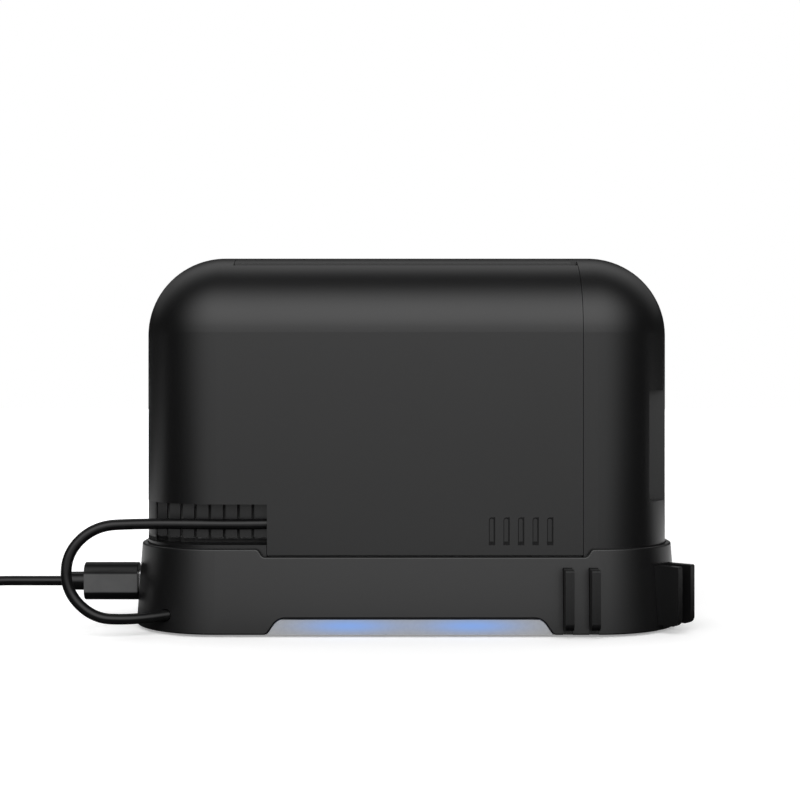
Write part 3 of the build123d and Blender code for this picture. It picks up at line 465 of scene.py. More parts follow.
@dataclass(frozen=True)
class RibbedPlastic(MouldedPlastic):
    """Panel plastic whose grooves and lower slot are rough, with flat tones painted in them as
    shade, and a pale tone painted on the ledge above the slot as light.
    """

    specular: float = 0.38
    groove_start: float = -58.0 * MM
    groove_pitch: float = 5.4 * MM
    groove_half: float = 0.5 * MM
    slot_top: float = 35.8 * MM
    slot_level: float = 35.1 * MM
    # Painted light on the ledge, painted shade in the grooves and in the slot.
    ledge_light_tone: Colour = grey(0.13)
    groove_shade_tone: Colour = grey(0.035)
    slot_shade_tone: Colour = grey(0.013)
    deep_roughness: float = 0.92
    pale_share: float = 1.1

    def paint(self, desk: Desk) -> None:
        """Fills the tree."""
        x, _, z = desk.axes()
        _, grain = self.textures(desk)
        # Grooves: a flat tone painted in each one as shade.
        along = (self.groove_start + self.groove_pitch / 2 - x) / self.groove_pitch
        offset = along.cell().size() * self.groove_pitch
        groove = 1.0 - offset.ramp(self.groove_half * 0.8, self.groove_half * 1.2)
        groove = groove * along.ramp(0.0, 0.1)
        # Ledge band: pale tone painted as light; slot below it: dark tone painted as shade.
        ledge, slot = 1.0 - z.step(self.slot_top), 1.0 - z.step(self.slot_level)
        face = desk.blend(grain, self.colour, toned(self.colour, self.pale_share))
        tone = desk.blend(groove, desk.blend(ledge, face, self.ledge_light_tone), self.groove_shade_tone)
        deep = groove.above(ledge) * (self.deep_roughness - self.roughness)
        desk.surface(
            desk.blend(slot, tone, self.slot_shade_tone),
            self.roughness + grain * 0.04 + deep,
            Specular_IOR_Level=self.specular,
            Normal=desk.bump(grain, self.grain_depth, 0.4),
        )


@dataclass(frozen=True)
class VentedPlastic(MouldedPlastic):
    """Cover plastic, left rough along one wall and the lower end of each vent."""

    vent_middle: float = 31.55 * MM
    vent_pitch: float = 5.4 * MM
    vent_half: float = 1.15 * MM
    vent_low: float = 33.7 * MM
    vent_high: float = 43.9 * MM
    vent_count: int = 5
    row_edge: float = 0.02
    end_rise: float = 1.5 * MM
    foot_edge: float = 0.3 * MM
    head_edge: float = 0.2 * MM

    def paint(self, desk: Desk) -> None:
        """Fills the tree."""
        x, _, z = desk.axes()
        cloud, grain = self.textures(desk)
        along = (x - self.vent_middle) / self.vent_pitch + 0.5
        offset = along.cell() * self.vent_pitch
        last = (self.vent_count - self.row_edge, self.vent_count + self.row_edge)
        row = along.between((-self.row_edge, self.row_edge), last)
        inside = 1.0 - offset.size().ramp(self.vent_half, self.vent_half + CRISP)
        foot = (self.vent_low - self.foot_edge, self.vent_low)
        level = z.between(foot, (self.vent_high, self.vent_high + self.head_edge))
        wall = offset.ramp(self.vent_half * 0.35, self.vent_half * 0.7)
        end = 1.0 - z.ramp(self.vent_low + self.end_rise * 0.7, self.vent_low + self.end_rise)
        rough = row * inside * level * wall.above(end)
        plain = self.plain(cloud, grain)
        tone = (cloud * 0.6 + grain * 0.4).ramp(*self.tone_span)
        desk.surface(
            desk.blend(tone, self.colour, toned(self.colour, self.pale_share)),
            plain + rough * (1.0 - plain),
            Specular_IOR_Level=self.specular,
            Normal=desk.bump(grain, self.grain_depth, 0.4),
        )


@dataclass(frozen=True)
class PlugPaintedLight(Finish):
    """Satin plug body with painted light: grey painted on its flat faces as light, black on its
    rounded edges as shade.
    """

    across: int
    middle: float
    half_face: float
    # edge is painted shade on the rounded edges; face is painted light on the flat faces.
    edge: Colour = BLACK
    face: Colour = (0.1, 0.1, 0.101)
    grain: float = 1500.0
    grain_depth: float = 0.02 * MM
    marks: float = 180.0
    inner_edge: float = 0.2 * MM
    outer_edge: float = 0.5 * MM

    def paint(self, desk: Desk) -> None:
        """Fills the tree."""
        offset = (desk.axes()[self.across] - self.middle).size()
        # Painted light on the flat faces, painted shade on the rounded edges.
        edge = offset.ramp(self.half_face - self.inner_edge, self.half_face + self.outer_edge)
        grain, marks = desk.noise(self.grain, 2.0, 0.6), desk.noise(self.marks, 3.0)
        pale = desk.blend(marks.ramp(0.35, 0.65), self.face, toned(self.face, 0.92))
        desk.surface(
            desk.blend(1.0 - edge, self.edge, pale),
            0.3 + grain * 0.08 + marks * 0.04,
            Specular_IOR_Level=0.2,
            Normal=desk.bump(grain, self.grain_depth, 0.4),
        )


@dataclass(frozen=True)
class SoftRubber(Finish):
    """Matte rubber with a fine pebble and a little dust in its hollows."""

    colour: Colour = (0.012, 0.012, 0.0122)
    pebble: float = 900.0
    pebble_depth: float = 0.06 * MM
    dust: float = 140.0

    def paint(self, desk: Desk) -> None:
        """Fills the tree."""
        inputs = {"Vector": desk.place(), "Scale": self.pebble}
        cells = desk.field("ShaderNodeTexVoronoi", inputs)
        dust = desk.noise(self.dust, 3.0)
        share = (cells * dust).ramp(0.15, 0.5) * 0.5
        desk.surface(
            desk.blend(share, self.colour, toned(self.colour, 1.5, 0.006)),
            0.72 + dust * 0.12,
            Specular_IOR_Level=0.3,
            Normal=desk.bump(1.0 - cells, self.pebble_depth, 0.5),
        )


@dataclass(frozen=True)
class CordSheath(Finish):
    """Extruded cord sheath: smooth and satin, with faint draw lines and handling marks."""

    colour: Colour = (0.005, 0.005, 0.0052)
    roughness: float = 0.2
    marks: float = 320.0
    fine: float = 2600.0
    fine_depth: float = 0.01 * MM

    def paint(self, desk: Desk) -> None:
        """Fills the tree."""
        marks, fine = desk.noise(self.marks), desk.noise(self.fine, 1.0)
        worn = toned(self.colour, 1.25, 0.002)
        desk.surface(
            desk.blend(marks.ramp(0.45, 0.7) * 0.6, self.colour, worn),
            self.roughness + (marks - 0.5) * 0.06 + fine * 0.03,
            Specular_IOR_Level=0.28,
            Normal=desk.bump(fine * 0.7 + marks * 0.3, self.fine_depth, 0.3),
        )


@dataclass(frozen=True)
class WovenBand(Finish):
    """Hook-and-loop tie: a tight weave under a little fuzz."""

    colour: Colour = (0.008, 0.008, 0.0082)
    threads: float = 9000.0
    thread_depth: float = 0.12 * MM
    fuzz: float = 3200.0

    def paint(self, desk: Desk) -> None:
        """Fills the tree."""
        x, y, z = desk.axes()
        weave = (y * self.threads).wave() * ((x + z) * self.threads).wave() * 0.5 + 0.5
        fuzz = desk.noise(self.fuzz, 3.0, 0.7)
        tone = (weave * 0.6 + fuzz * 0.4).ramp(0.3, 0.8)
        desk.surface(
            desk.blend(tone, self.colour, toned(self.colour, 1.8, 0.004)),
            0.8 + fuzz * 0.15,
            Specular_IOR_Level=0.2,
            Normal=desk.bump(weave * 0.7 + fuzz * 0.3, self.thread_depth, 0.7),
        )


@dataclass(frozen=True)
class PlatedMetal(Finish):
    """Bright plated metal with fine brushing and small handling stains."""

    colour: Colour
    roughness: float
    stain: float = 420.0
    brushing: float = 9000.0
    brushing_depth: float = 0.006 * MM

    def paint(self, desk: Desk) -> None:
        """Fills the tree."""
        stain = desk.noise(self.stain, 3.0)
        x, y, z = desk.axes()
        lines = ((x + y * 0.6 + z * 0.8) * self.brushing).wave() * 0.5 + 0.5
        desk.surface(
            desk.blend(stain.ramp(0.5, 0.75), self.colour, toned(self.colour, 0.8)),
            self.roughness + stain * 0.12 + lines * 0.05,
            Metallic=1.0,
            Normal=desk.bump(lines, self.brushing_depth, 0.3),
        )


@dataclass(frozen=True)
class CircuitBoard(Finish):
    """Solder-masked board: green mask over copper traces and a fine weave."""

    mask: Colour = (0.012, 0.09, 0.045)
    trace: Colour = (0.03, 0.19, 0.09)
    trace_depth: float = 0.03 * MM
    bend: float = 160.0
    bend_reach: float = 4.0 * MM
    across: float = 3400.0
    along: float = 900.0
    weave: float = 7000.0

    def paint(self, desk: Desk) -> None:
        """Fills the tree."""
        x, _, z = desk.axes()
        bend = desk.noise(self.bend, 1.0) * self.bend_reach
        tracks = ((x + bend) * self.across).wave() * ((z - bend) * self.along).wave()
        weave = (x * self.weave).wave() * (z * self.weave).wave()
        height = tracks.ramp(0.2, 0.4) + weave * 0.1
        desk.surface(
            desk.blend(tracks.ramp(0.25, 0.5) * 0.6, self.mask, self.trace),
            0.42 + weave * 0.05,
            Specular_IOR_Level=0.5,
            Normal=desk.bump(height, self.trace_depth, 0.6),
        )


@dataclass(frozen=True)
class LitDiffuser(Finish):
    """Milky diffuser with a soft glow in front of each light behind it, and a painted shadow line
    along its top edge.
    """

    colour: Colour = (0.345, 0.347, 0.35)
    # Blue base colour painted in the glow spots, as light.
    painted_glow_tint: Colour = (0.225, 0.315, 0.34)
    glow: Colour = (0.0, 0.065, 0.41)
    glow_spots: Span = (-22.0 * MM, 23.8 * MM)
    glow_level: float = 4.3 * MM
    glow_width: float = 16.8 * MM
    glow_height: float = 2.7 * MM
    # Painted shadow along the top edge, where the shell meets the bar.
    shadow_line_level: float = 6.5 * MM
    shadow_line_tone: Colour = grey(0.006)
    haze: float = 900.0

    def paint(self, desk: Desk) -> None:
        """Fills the tree."""
        x, _, z = desk.axes()
        haze = desk.noise(self.haze)
        rise = ((z - self.glow_level) / self.glow_height) ** 2.0
        left, right = (
            (-(((x - spot) / self.glow_width) ** 2.0 + rise)).exponential()
            for spot in self.glow_spots
        )
        share = (left + right).below(1.0)
        # Painted shadow: a dark band along the top edge, with no glow in it.
        shadow_line = z.step(self.shadow_line_level)
        milky = desk.blend(haze.ramp(0.35, 0.65), self.colour, toned(self.colour, 0.94))
        # The glow spots also tint the base colour: painted light.
        desk.surface(
            desk.blend(shadow_line, desk.blend(share, milky, self.painted_glow_tint), self.shadow_line_tone),
            0.5 + haze * 0.1,
            Specular_IOR_Level=0.4,
            Emission_Color=desk.blend(share * (1.0 - shadow_line), UNLIT, self.glow),
            Emission_Strength=1.0,
        )


@dataclass(frozen=True)
class ClearLens(Finish):
    """Small lit lens with a faintly uneven glow."""

    colour: Colour = (0.7, 0.8, 0.95)
    glow: Colour = (0.25, 0.5, 1.0)
    glow_strength: float = 0.6
    grain: float = 1800.0

    def paint(self, desk: Desk) -> None:
        """Fills the tree."""
        grain = desk.noise(self.grain)
        desk.surface(
            desk.blend(grain, self.colour, toned(self.colour, 0.85)),
            0.22 + grain * 0.1,
            Emission_Color=desk.blend(grain * 0.4, self.glow, toned(self.glow, 0.7)),
            Emission_Strength=self.glow_strength,
        )


@dataclass(frozen=True)
class FloorPaint(Finish):
    """Pale floor that keeps the object's shadow and turns white away from it."""

    albedo: float = 0.85
    bounce: float = 0.22
    mirrored_albedo: float = 0.02
    glow: float = 0.3
    open_span: Span = (0.25, 0.9)
    rear_glow: float = 0.06
    rear_span: Span = (0.03, 0.055)
    left_glow: float = 0.12
    left_span: Span = (0.095, 0.12)
    ahead_light: float = 0.8
    ahead_cone: Span = (0.6, 0.95)
    ahead_span: Span = (0.04, 0.16)
    near_light: float = 0.1
    near_span: Span = (0.15, 0.5)
    behind_light: float = 0.9
    behind_rise: Span = (0.02, 0.12)
    behind_fall: Span = (0.25, 0.6)

    def paint(self, desk: Desk) -> None:
        """Fills the tree."""
        seen, mirrored = desk.rays()
        x, y, _ = desk.axes()
        rearward, leftward = -y, -x
        reach = (x * x + y * y) ** 0.5
        # Painted light: the camera sees the floor lifted rearward of the base and to its left,
        # which thins the shadow there.
        clear = rearward.ramp(*self.rear_span) * self.rear_glow
        clear = clear + leftward.ramp(*self.left_span) * self.left_glow
        shown = self.glow + clear + reach.ramp(*self.open_span) * (1.0 - self.glow)
        ahead = (rearward / reach.above(MM)).ramp(*self.ahead_cone)
        ahead = ahead * rearward.ramp(*self.ahead_span)
        near = 1.0 - rearward.ramp(*self.near_span)
        behind = y.between(self.behind_rise, self.behind_fall)
        bright = ahead * (self.ahead_light + near * self.near_light) + behind * self.behind_light
        level = (seen * shown).above(mirrored * bright)
        pale = desk.blend(seen, grey(self.bounce), grey(self.albedo))
        desk.surface(
            desk.blend(mirrored, pale, grey(self.mirrored_albedo)),
            1.0,
            Specular_IOR_Level=0.0,
            Emission_Color=desk.blend(level, UNLIT, WHITE),
            Emission_Strength=1.0,
        )


class Look(Enum):
    """Every finish of the object."""

    SHELL = MouldedPlastic("pod_plastic")
    COVER = VentedPlastic("cover_plastic")
    BASE = MouldedPlastic("base_plastic", specular=0.545)
    INNER = MouldedPlastic("inner_plastic", DARK_GREY, roughness=0.48, specular=0.4, grain=1700.0)
    RAIL = MouldedPlastic("rail_plastic", roughness=0.34, specular=0.34)
    RUBBER = SoftRubber("mat_rubber")
    CORD = CordSheath("cord_sheath")
    PANEL = RibbedPlastic("panel_plastic")
    STEEL = PlatedMetal("plated_steel", (0.6, 0.6, 0.61), roughness=0.22)
    GOLD = PlatedMetal("contact_gold", (0.86, 0.62, 0.28), roughness=0.2)
    BOARD = CircuitBoard("board_mask")
    TIE = WovenBand("tie_weave")
    DIFFUSER = LitDiffuser("milky_diffuser")
    LENS = ClearLens("light_lens")


@dataclass(frozen=True)
class Studio:
    """Camera, floor and surrounding light; arcs are in degrees, other spans are shares."""

    eye: Point = mm(-2.6, -510.0, 87.5)
    focal_pixels: float = 1305.0
    frame_pixels: float = 800.0
    sensor: float = 36.0
    near_clip: float = 10.0 * MM
    floor_half: float = 12.0
    ambient: float = 0.02
    matte_ambient: float = 0.3
    aside_arc: Span = (10.0, 68.0)
    level_light: float = 1.05
    overhead_light: float = 1.7
    rise_arc: Span = (2.0, 22.0)
    fall_arc: Span = (38.0, 82.0)
    far_light: float = 0.8
    far_rise_arc: Span = (90.0, 116.0)
    far_fall_arc: Span = (124.0, 150.0)
    beside_light: float = 0.22
    beside_aside: Span = (0.25, 0.5)
    beside_ahead: Span = (0.2, 0.6)
    beside_rise: Span = (0.16, 0.34)
    beside_fall: Span = (0.5, 0.8)
    white_ahead: Span = (0.95, 1.0)

    def build(self) -> None:
        """Sets up everything that isn't the object."""
        self._camera()
        self._world()
        self._floor()
        bpy.context.scene.view_settings.view_transform = "Standard"

    def _camera(self) -> None:
        """Places the camera level behind the object, where the photograph was taken from."""
        data = bpy.data.cameras.new("camera")
        data.sensor_width = self.sensor
        data.lens = self.focal_pixels * self.sensor / self.frame_pixels
        data.clip_start = self.near_clip
        camera = placed("camera", data)
        camera.location = self.eye
        camera.rotation_euler = (math.pi / 2, 0.0, 0.0)
        bpy.context.scene.camera = camera

    def _world(self) -> None:
        """White for the camera; for the object, a wide soft wall of light that leans overhead."""
        world = bpy.data.worlds.new("studio")
        bpy.context.scene.world = world
        world.use_nodes = True
        desk = Desk(world.node_tree)
        seen, mirrored = desk.rays()
        x, y, z = desk.axes("Generated")
        aside = 1.0 - x.size().arcsine().ramp(*arc(self.aside_arc))
        lift = z.bearing(-y)
        wall = self.level_light + lift.ramp(*arc(self.rise_arc)) * self.overhead_light
        wall = wall * (1.0 - lift.ramp(*arc(self.fall_arc)))
        far = lift.between(arc(self.far_rise_arc), arc(self.far_fall_arc))
        beside = x.size().ramp(*self.beside_aside) * y.ramp(*self.beside_ahead)
        beside = beside * z.between(self.beside_rise, self.beside_fall)
        room = aside * (wall + far * self.far_light) + beside * self.beside_light
        room = room + self.ambient + (1.0 - mirrored) * self.matte_ambient
        white = seen.above(mirrored * y.ramp(*self.white_ahead))
        inputs = {"Color": (*WHITE, 1.0), "Strength": room * (1.0 - white) + white}
        glow = desk.out("ShaderNodeBackground", inputs)
        desk.node("ShaderNodeOutputWorld", {"Surface": glow})

    def _floor(self) -> None:
        """Lays the floor."""
        mesh = bpy.data.meshes.new("floor")
        half = self.floor_half
        corners = [(-half, -half, 0), (half, -half, 0), (half, half, 0), (-half, half, 0)]
        mesh.from_pydata(corners, [], [(0, 1, 2, 3)])
        mesh.materials.append(FloorPaint("floor_paint").material())
        floor = placed("floor", mesh)


class Workshop:
    """Helpers that the sub-assemblies share."""

    def __init__(self) -> None:
        """Builds every finish once."""
        self.materials = {look: look.value.material() for look in Look}

    def dress(self, **nodes: str) -> None:
        """Gives frame nodes their finishes.

        Args:
            nodes: Each finish, with the names of its nodes in one line.
        """
        for look, names in nodes.items():
            for name in names.split():
                coat(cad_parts[name].data, self.materials[Look[look.upper()]])

    def dress_plug(self, node: str, across: int, shift: float = 0.0) -> None:
        """Gives a plug's body its painted light: a grey band on its flat faces between black
        rounded edges.

        Args:
            node: The body's name.
            across: Axis across its flat faces: 0, 1 or 2.
            shift: How far the painted light band sits off the middle.
        """
        low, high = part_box(node)
        half_face = (high[across] - low[across] - min(high - low)) / 2
        middle = (low[across] + high[across]) / 2 + shift
        finish = PlugPaintedLight(f"{node}_moulding", across, middle, half_face)
        coat(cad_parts[node].data, finish.material())

    @staticmethod
    def middle(node: str) -> Vector:
        """Middle of a frame node's box."""
        low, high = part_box(node)
        return (low + high) / 2

    def faces(self, node: str, shift: Point, wall: Point) -> list[Vector]:
        """Spots on two facing walls, a reach either way from a node's shifted middle."""
        middle = self.middle(node) + Vector(shift)
        return [middle - Vector(wall), middle + Vector(wall)]

    def piece(
        self, name: str, data: ID, look: Look, replaces: Sequence[str] = (), body: Body = Body.DOCK
    ) -> Object:
        """Adds a finished piece to a body.

        Args:
            name: The piece's name.
            data: Its mesh or curve, already in place.
            look: Its finish.
            replaces: Frame nodes that it stands for.
            body: What it rides on.

        Returns:
            The piece.
        """
        made = placed(name, data)
        coat(data, self.materials[look])
        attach(made, body.value)
        if replaces:
            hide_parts(*replaces)
        LOG.info("piece %s on %s", name, body.value)
        return made

    def grow(self, tree: ShapeTree, shape: Socket, seed: Mesh, look: Look, **more: Any) -> Object:
        """Runs a tree on a seed and adds what it makes as a piece."""
        mesh = tree.mesh(shape, self.materials[look], seed)
        return self.piece(tree.name, mesh, look, **more)

    def spread(
        self, tree: ShapeTree, shape: Socket, spots: Iterable[Vector], look: Look, **more: Any
    ) -> Object:
        """Adds a tree's shape on every spot, all as one piece.

        Args:
            tree: The tree, which is closed here.
            shape: The shape.
            spots: Where it goes.
            look: Its finish.
            more: What else the piece is given.

        Returns:
            The piece.
        """
        seed = bpy.data.meshes.new(f"{tree.name}_spots")
        seed.from_pydata([tuple(spot) for spot in spots], [], [])
        return self.grow(tree, tree.repeated(tree.given(), shape), seed, look, **more)

    @staticmethod
    def merged_copy(node: str) -> bmesh.types.BMesh:
        """A frame node's mesh with its doubled corners merged.

        Args:
            node: The node's name.

        Returns:
            The copy, which the caller frees.
        """
        work = bmesh.new()
        work.from_mesh(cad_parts[node].data)
        bmesh.ops.remove_doubles(work, verts=work.verts, dist=MERGE_REACH)
        return work

    def islands(self, node: str) -> list[tuple[Vector, Vector]]:
        """Boxes of the separate solids in a frame node.

        Args:
            node: The node's name.

        Returns:
            Lowest and highest corner of each, in order.
        """
        work = self.merged_copy(node)
        left = set(work.verts)
        boxes = []
        while left:
            group, heap = [], [left.pop()]
            while heap:
                corner = heap.pop()
                group.append(corner.co.copy())
                fresh = {edge.other_vert(corner) for edge in corner.link_edges} & left
                left -= fresh
                heap += fresh
            columns = list(zip(*group))
            boxes.append((Vector(map(min, columns)), Vector(map(max, columns))))
        work.free()
        return sorted(boxes, key=lambda box: tuple(round(value, 6) for value in box[0]))

    def lay_cord(
        self,
        name: str,
        points: Sequence[Sequence[float]],
        diameter: float,
        replaces: Sequence[str],
        carried: str,
        rows: Sequence["ContactRows"] = (),
        **facts: str,
    ) -> None:
        """Args:
            name: The cord's name.
            points: The line's control points, from its exit to its far end.
            diameter: The cord's thickness.
            replaces: Frame nodes that it stands for.
            carried: The names of the frame nodes on it, in one line.
            rows: Rows of contacts on it, made after it.
            facts: Its far end, stiffness and lay; not used.
        """
        curve = bpy.data.curves.new(name, "CURVE")
        curve.dimensions = "3D"
        curve.bevel_depth = diameter / 2
        curve.bevel_resolution = 6
        curve.resolution_u = 10
        curve.use_fill_caps = True
        spline = curve.splines.new("NURBS")
        spline.points.add(len(points) - 1)
        for point, place in zip(spline.points, points):
            point.co = (*place, 1.0)
        spline.order_u = 3
        spline.use_endpoint_u = True
        cord = self.piece(name, curve, Look.CORD, replaces)
        pieces = [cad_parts[node] for node in carried.split()]
        pieces += [row.build() for row in rows]


@dataclass
class ScrewSet:
    """Cross-recess pan-head screws in place of one frame node's plain ones."""

    shop: Workshop
    node: str
    axis: int
    head_radius: float
    shank_radius: float
    head_height: float = 1.2 * MM
    crown_height: float = 0.4
    crown_radius: float = 0.8
    shank_start: float = 0.5
    shank_taper: float = 0.9
    recess_share: float = 0.66
    recess_width: float = 0.8 * MM
    recess_depth: float = 0.75 * MM

    def build(self) -> None:
        """Makes the screws, heads towards the low end of their axis."""
        boxes = self.shop.islands(self.node)
        spots = [(low + high) / 2 for low, high in boxes]
        for spot, (low, _) in zip(spots, boxes):
            spot[self.axis] = low[self.axis]
        sizes = {
            "Head Radius": self.head_radius,
            "Head Height": self.head_height,
            "Shank Radius": self.shank_radius,
            "Length": max(high[self.axis] - low[self.axis] for low, high in boxes),
            "Recess Width": self.recess_width,
            "Recess Depth": self.recess_depth,
        }
        tree = ShapeTree(f"cross_{self.node}", sizes)
        radius, height, thin, length, width, depth = tree.fields()
        crown = tree.turned(radius * self.crown_radius, radius, height * self.crown_height)
        rim = tree.turned(radius, radius, height * (1.0 - self.crown_height))
        rim = tree.shifted(rim, tree.vector(0.0, 0.0, height * self.crown_height))
        start = height * self.shank_start
        shank = tree.turned(thin, thin * self.shank_taper, length - start)
        shank = tree.shifted(shank, tree.vector(0.0, 0.0, start))
        arm, deep = radius * 2.0 * self.recess_share, depth * 2.0
        cross = tree.merged(tree.block(arm, width, deep), tree.block(width, arm, deep))
        screw = tree.cut(tree.merged(crown, rim, shank), cross)
        if self.axis == 1:
            screw = tree.shifted(screw, STILL, (-math.pi / 2, 0.0, 0.0))
        self.shop.spread(tree, screw, spots, Look.STEEL, replaces=[self.node])


@dataclass
class ContactRows:
    """Rows of gold contacts on a port's tongue or inside a plug's nose."""

    shop: Workshop
    name: str
    spots: Sequence[Vector]
    sides: Point
    axis: int
    count: int
    pitch: float
    body: Body = Body.DOCK
    turn: Point = STILL
    crown_share: float = 0.6
    crown_rise: float = 1.35

    def build(self) -> Object:
        """Makes one row about each spot.

        Returns:
            The piece.
        """
        labels = ("Along X", "Along Y", "Along Z", "Pitch")
        tree = ShapeTree(self.name, dict(zip(labels, (*self.sides, self.pitch))))
        *sides, pitch = tree.fields()
        shares = [self.crown_share] * 3
        shares[self.sides.index(min(self.sides))] = self.crown_rise
        crown = tree.block(*(side * share for side, share in zip(sides, shares)))
        contact = tree.shifted(tree.merged(tree.block(*sides), crown), STILL, self.turn)
        step = tree.vector(*(pitch if axis == self.axis else 0.0 for axis in range(3)))
        row = tree.repeated(tree.line(self.count, step), contact)
        offset = Vector(STILL)
        offset[self.axis] = self.pitch * (self.count - 1) / 2
        spots = [spot - offset for spot in self.spots]
        return self.shop.spread(tree, row, spots, Look.GOLD, body=self.body)


@dataclass
class PortTongues:
    """Moulded tongues over the side ports' plain ones, with their contacts."""

    shop: Workshop
    ports: tuple[str, ...] = ("side_port_lower", "side_port_upper")
    tongue: Point = mm(9.05, 1.92, 10.68)
    tongue_back: float = 0.55 * MM
    lip: float = 0.5 * MM
    lip_thickness: float = 0.6
    lip_width: float = 0.94
    contact: Point = mm(7.4, 0.16, 1.3)
    contact_back: float = 0.2 * MM
    contact_pitch: float = 2.3 * MM
    contact_count: int = 4

    def build(self) -> None:
        """Dresses the ports and makes their tongues and contacts."""
        self.shop.dress(steel=" ".join(self.ports))
        middles = [self.shop.middle(port) for port in self.ports]
        for middle, port in zip(middles, self.ports):
            middle.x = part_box(port)[0].x + self.tongue_back + self.tongue[0] / 2
        labels = ("Length", "Thickness", "Width", "Lip")
        tree = ShapeTree("port_tongues", dict(zip(labels, (*self.tongue, self.lip))))
        length, thickness, width, lip = tree.fields()
        body = tree.block(length - lip, thickness, width)
        body = tree.shifted(body, tree.vector(lip * -0.5, 0.0, 0.0))
        nose = tree.block(lip * 2.0, thickness * self.lip_thickness, width * self.lip_width)
        nose = tree.shifted(nose, tree.vector(length * 0.5 - lip, 0.0, 0.0))
        self.shop.spread(tree, tree.merged(body, nose), middles, Look.INNER)
        rise = Vector((-self.contact_back, -self.tongue[1] / 2, 0.0))
        spots = [middle + rise for middle in middles]
        row = (self.contact, 2, self.contact_count, self.contact_pitch)
        ContactRows(self.shop, "side_port_contacts", spots, *row).build()


@dataclass
class RibbedMat:
    """Rubber mat under the base, with cross ribs on its underside."""

    shop: Workshop
    node: str = "base_pad"
    rib_height: float = 0.5 * MM
    rib_width: float = 1.8 * MM
    rib_pitch: float = 3.6 * MM
    rib_count: int = 39
    rib_inset: float = 2.0 * MM

    def build(self) -> None:
        """Makes the mat from a merged copy of the plain one."""
        low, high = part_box(self.node)
        work = self.shop.merged_copy(self.node)
        for corner in work.verts:
            if corner.co.z < (low.z + high.z) / 2:
                corner.co.z = low.z + self.rib_height
        seed = bpy.data.meshes.new("mat_sheet")
        work.to_mesh(seed)
        work.free()
        sizes = {
            "Rib Width": self.rib_width,
            "Rib Length": high.y - low.y - 2 * self.rib_inset,
            "Rib Pitch": self.rib_pitch,
        }
        tree = ShapeTree("ribbed_mat", sizes)
        width, length, pitch = tree.fields()
        rib = tree.block(width, length, self.rib_height * 2.0)
        rib = tree.shifted(rib, (0.0, 0.0, low.z + self.rib_height))
        start = tree.vector(pitch * (-(self.rib_count - 1) / 2), 0.0, 0.0)
        line = tree.line(self.rib_count, tree.vector(pitch, 0.0, 0.0), start)
        mat = tree.merged(tree.given(), tree.repeated(line, rib))
        self.shop.grow(tree, mat, seed, Look.RUBBER, replaces=[self.node])


@dataclass
class LinkCord:
    """Short cord that loops from the base up into the pod's cable exit."""

    shop: Workshop
    diameter: float = 4.0 * MM
    route: tuple[Point, ...] = (
        (-0.0808, -0.0185, 0.0080), (-0.0915, -0.0244, 0.0071), (-0.1030, -0.0290, 0.0065),
        (-0.1153, -0.0310, 0.0074), (-0.1253, -0.0308, 0.0174), (-0.1253, -0.0300, 0.0312),
        (-0.1153, -0.0280, 0.0410), (-0.1005, -0.0250, 0.0415), (-0.0830, -0.0219, 0.0412),
        (-0.0680, -0.0213, 0.0409), (-0.0500, -0.0212, 0.0411), (-0.0405, -0.0173, 0.0412),
        (-0.0318, -0.0088, 0.0412), (-0.0236, -0.00383, 0.0410), (-0.0152, -0.00383, 0.0410),
    )

    def build(self) -> None:
        """Lays the cord and dresses its plug."""
        self.shop.dress_plug("link_plug_body", 2)
        self.shop.dress(cord="link_plug_boot", steel="link_plug_nose")
        self.shop.lay_cord(
            "link_cord",
            self.route,
            self.diameter,
            ["link_cable"],
            "link_plug_body link_plug_boot link_plug_nose",
            far_end="object",
            stiffness="limp",
            lay="loose",
        )


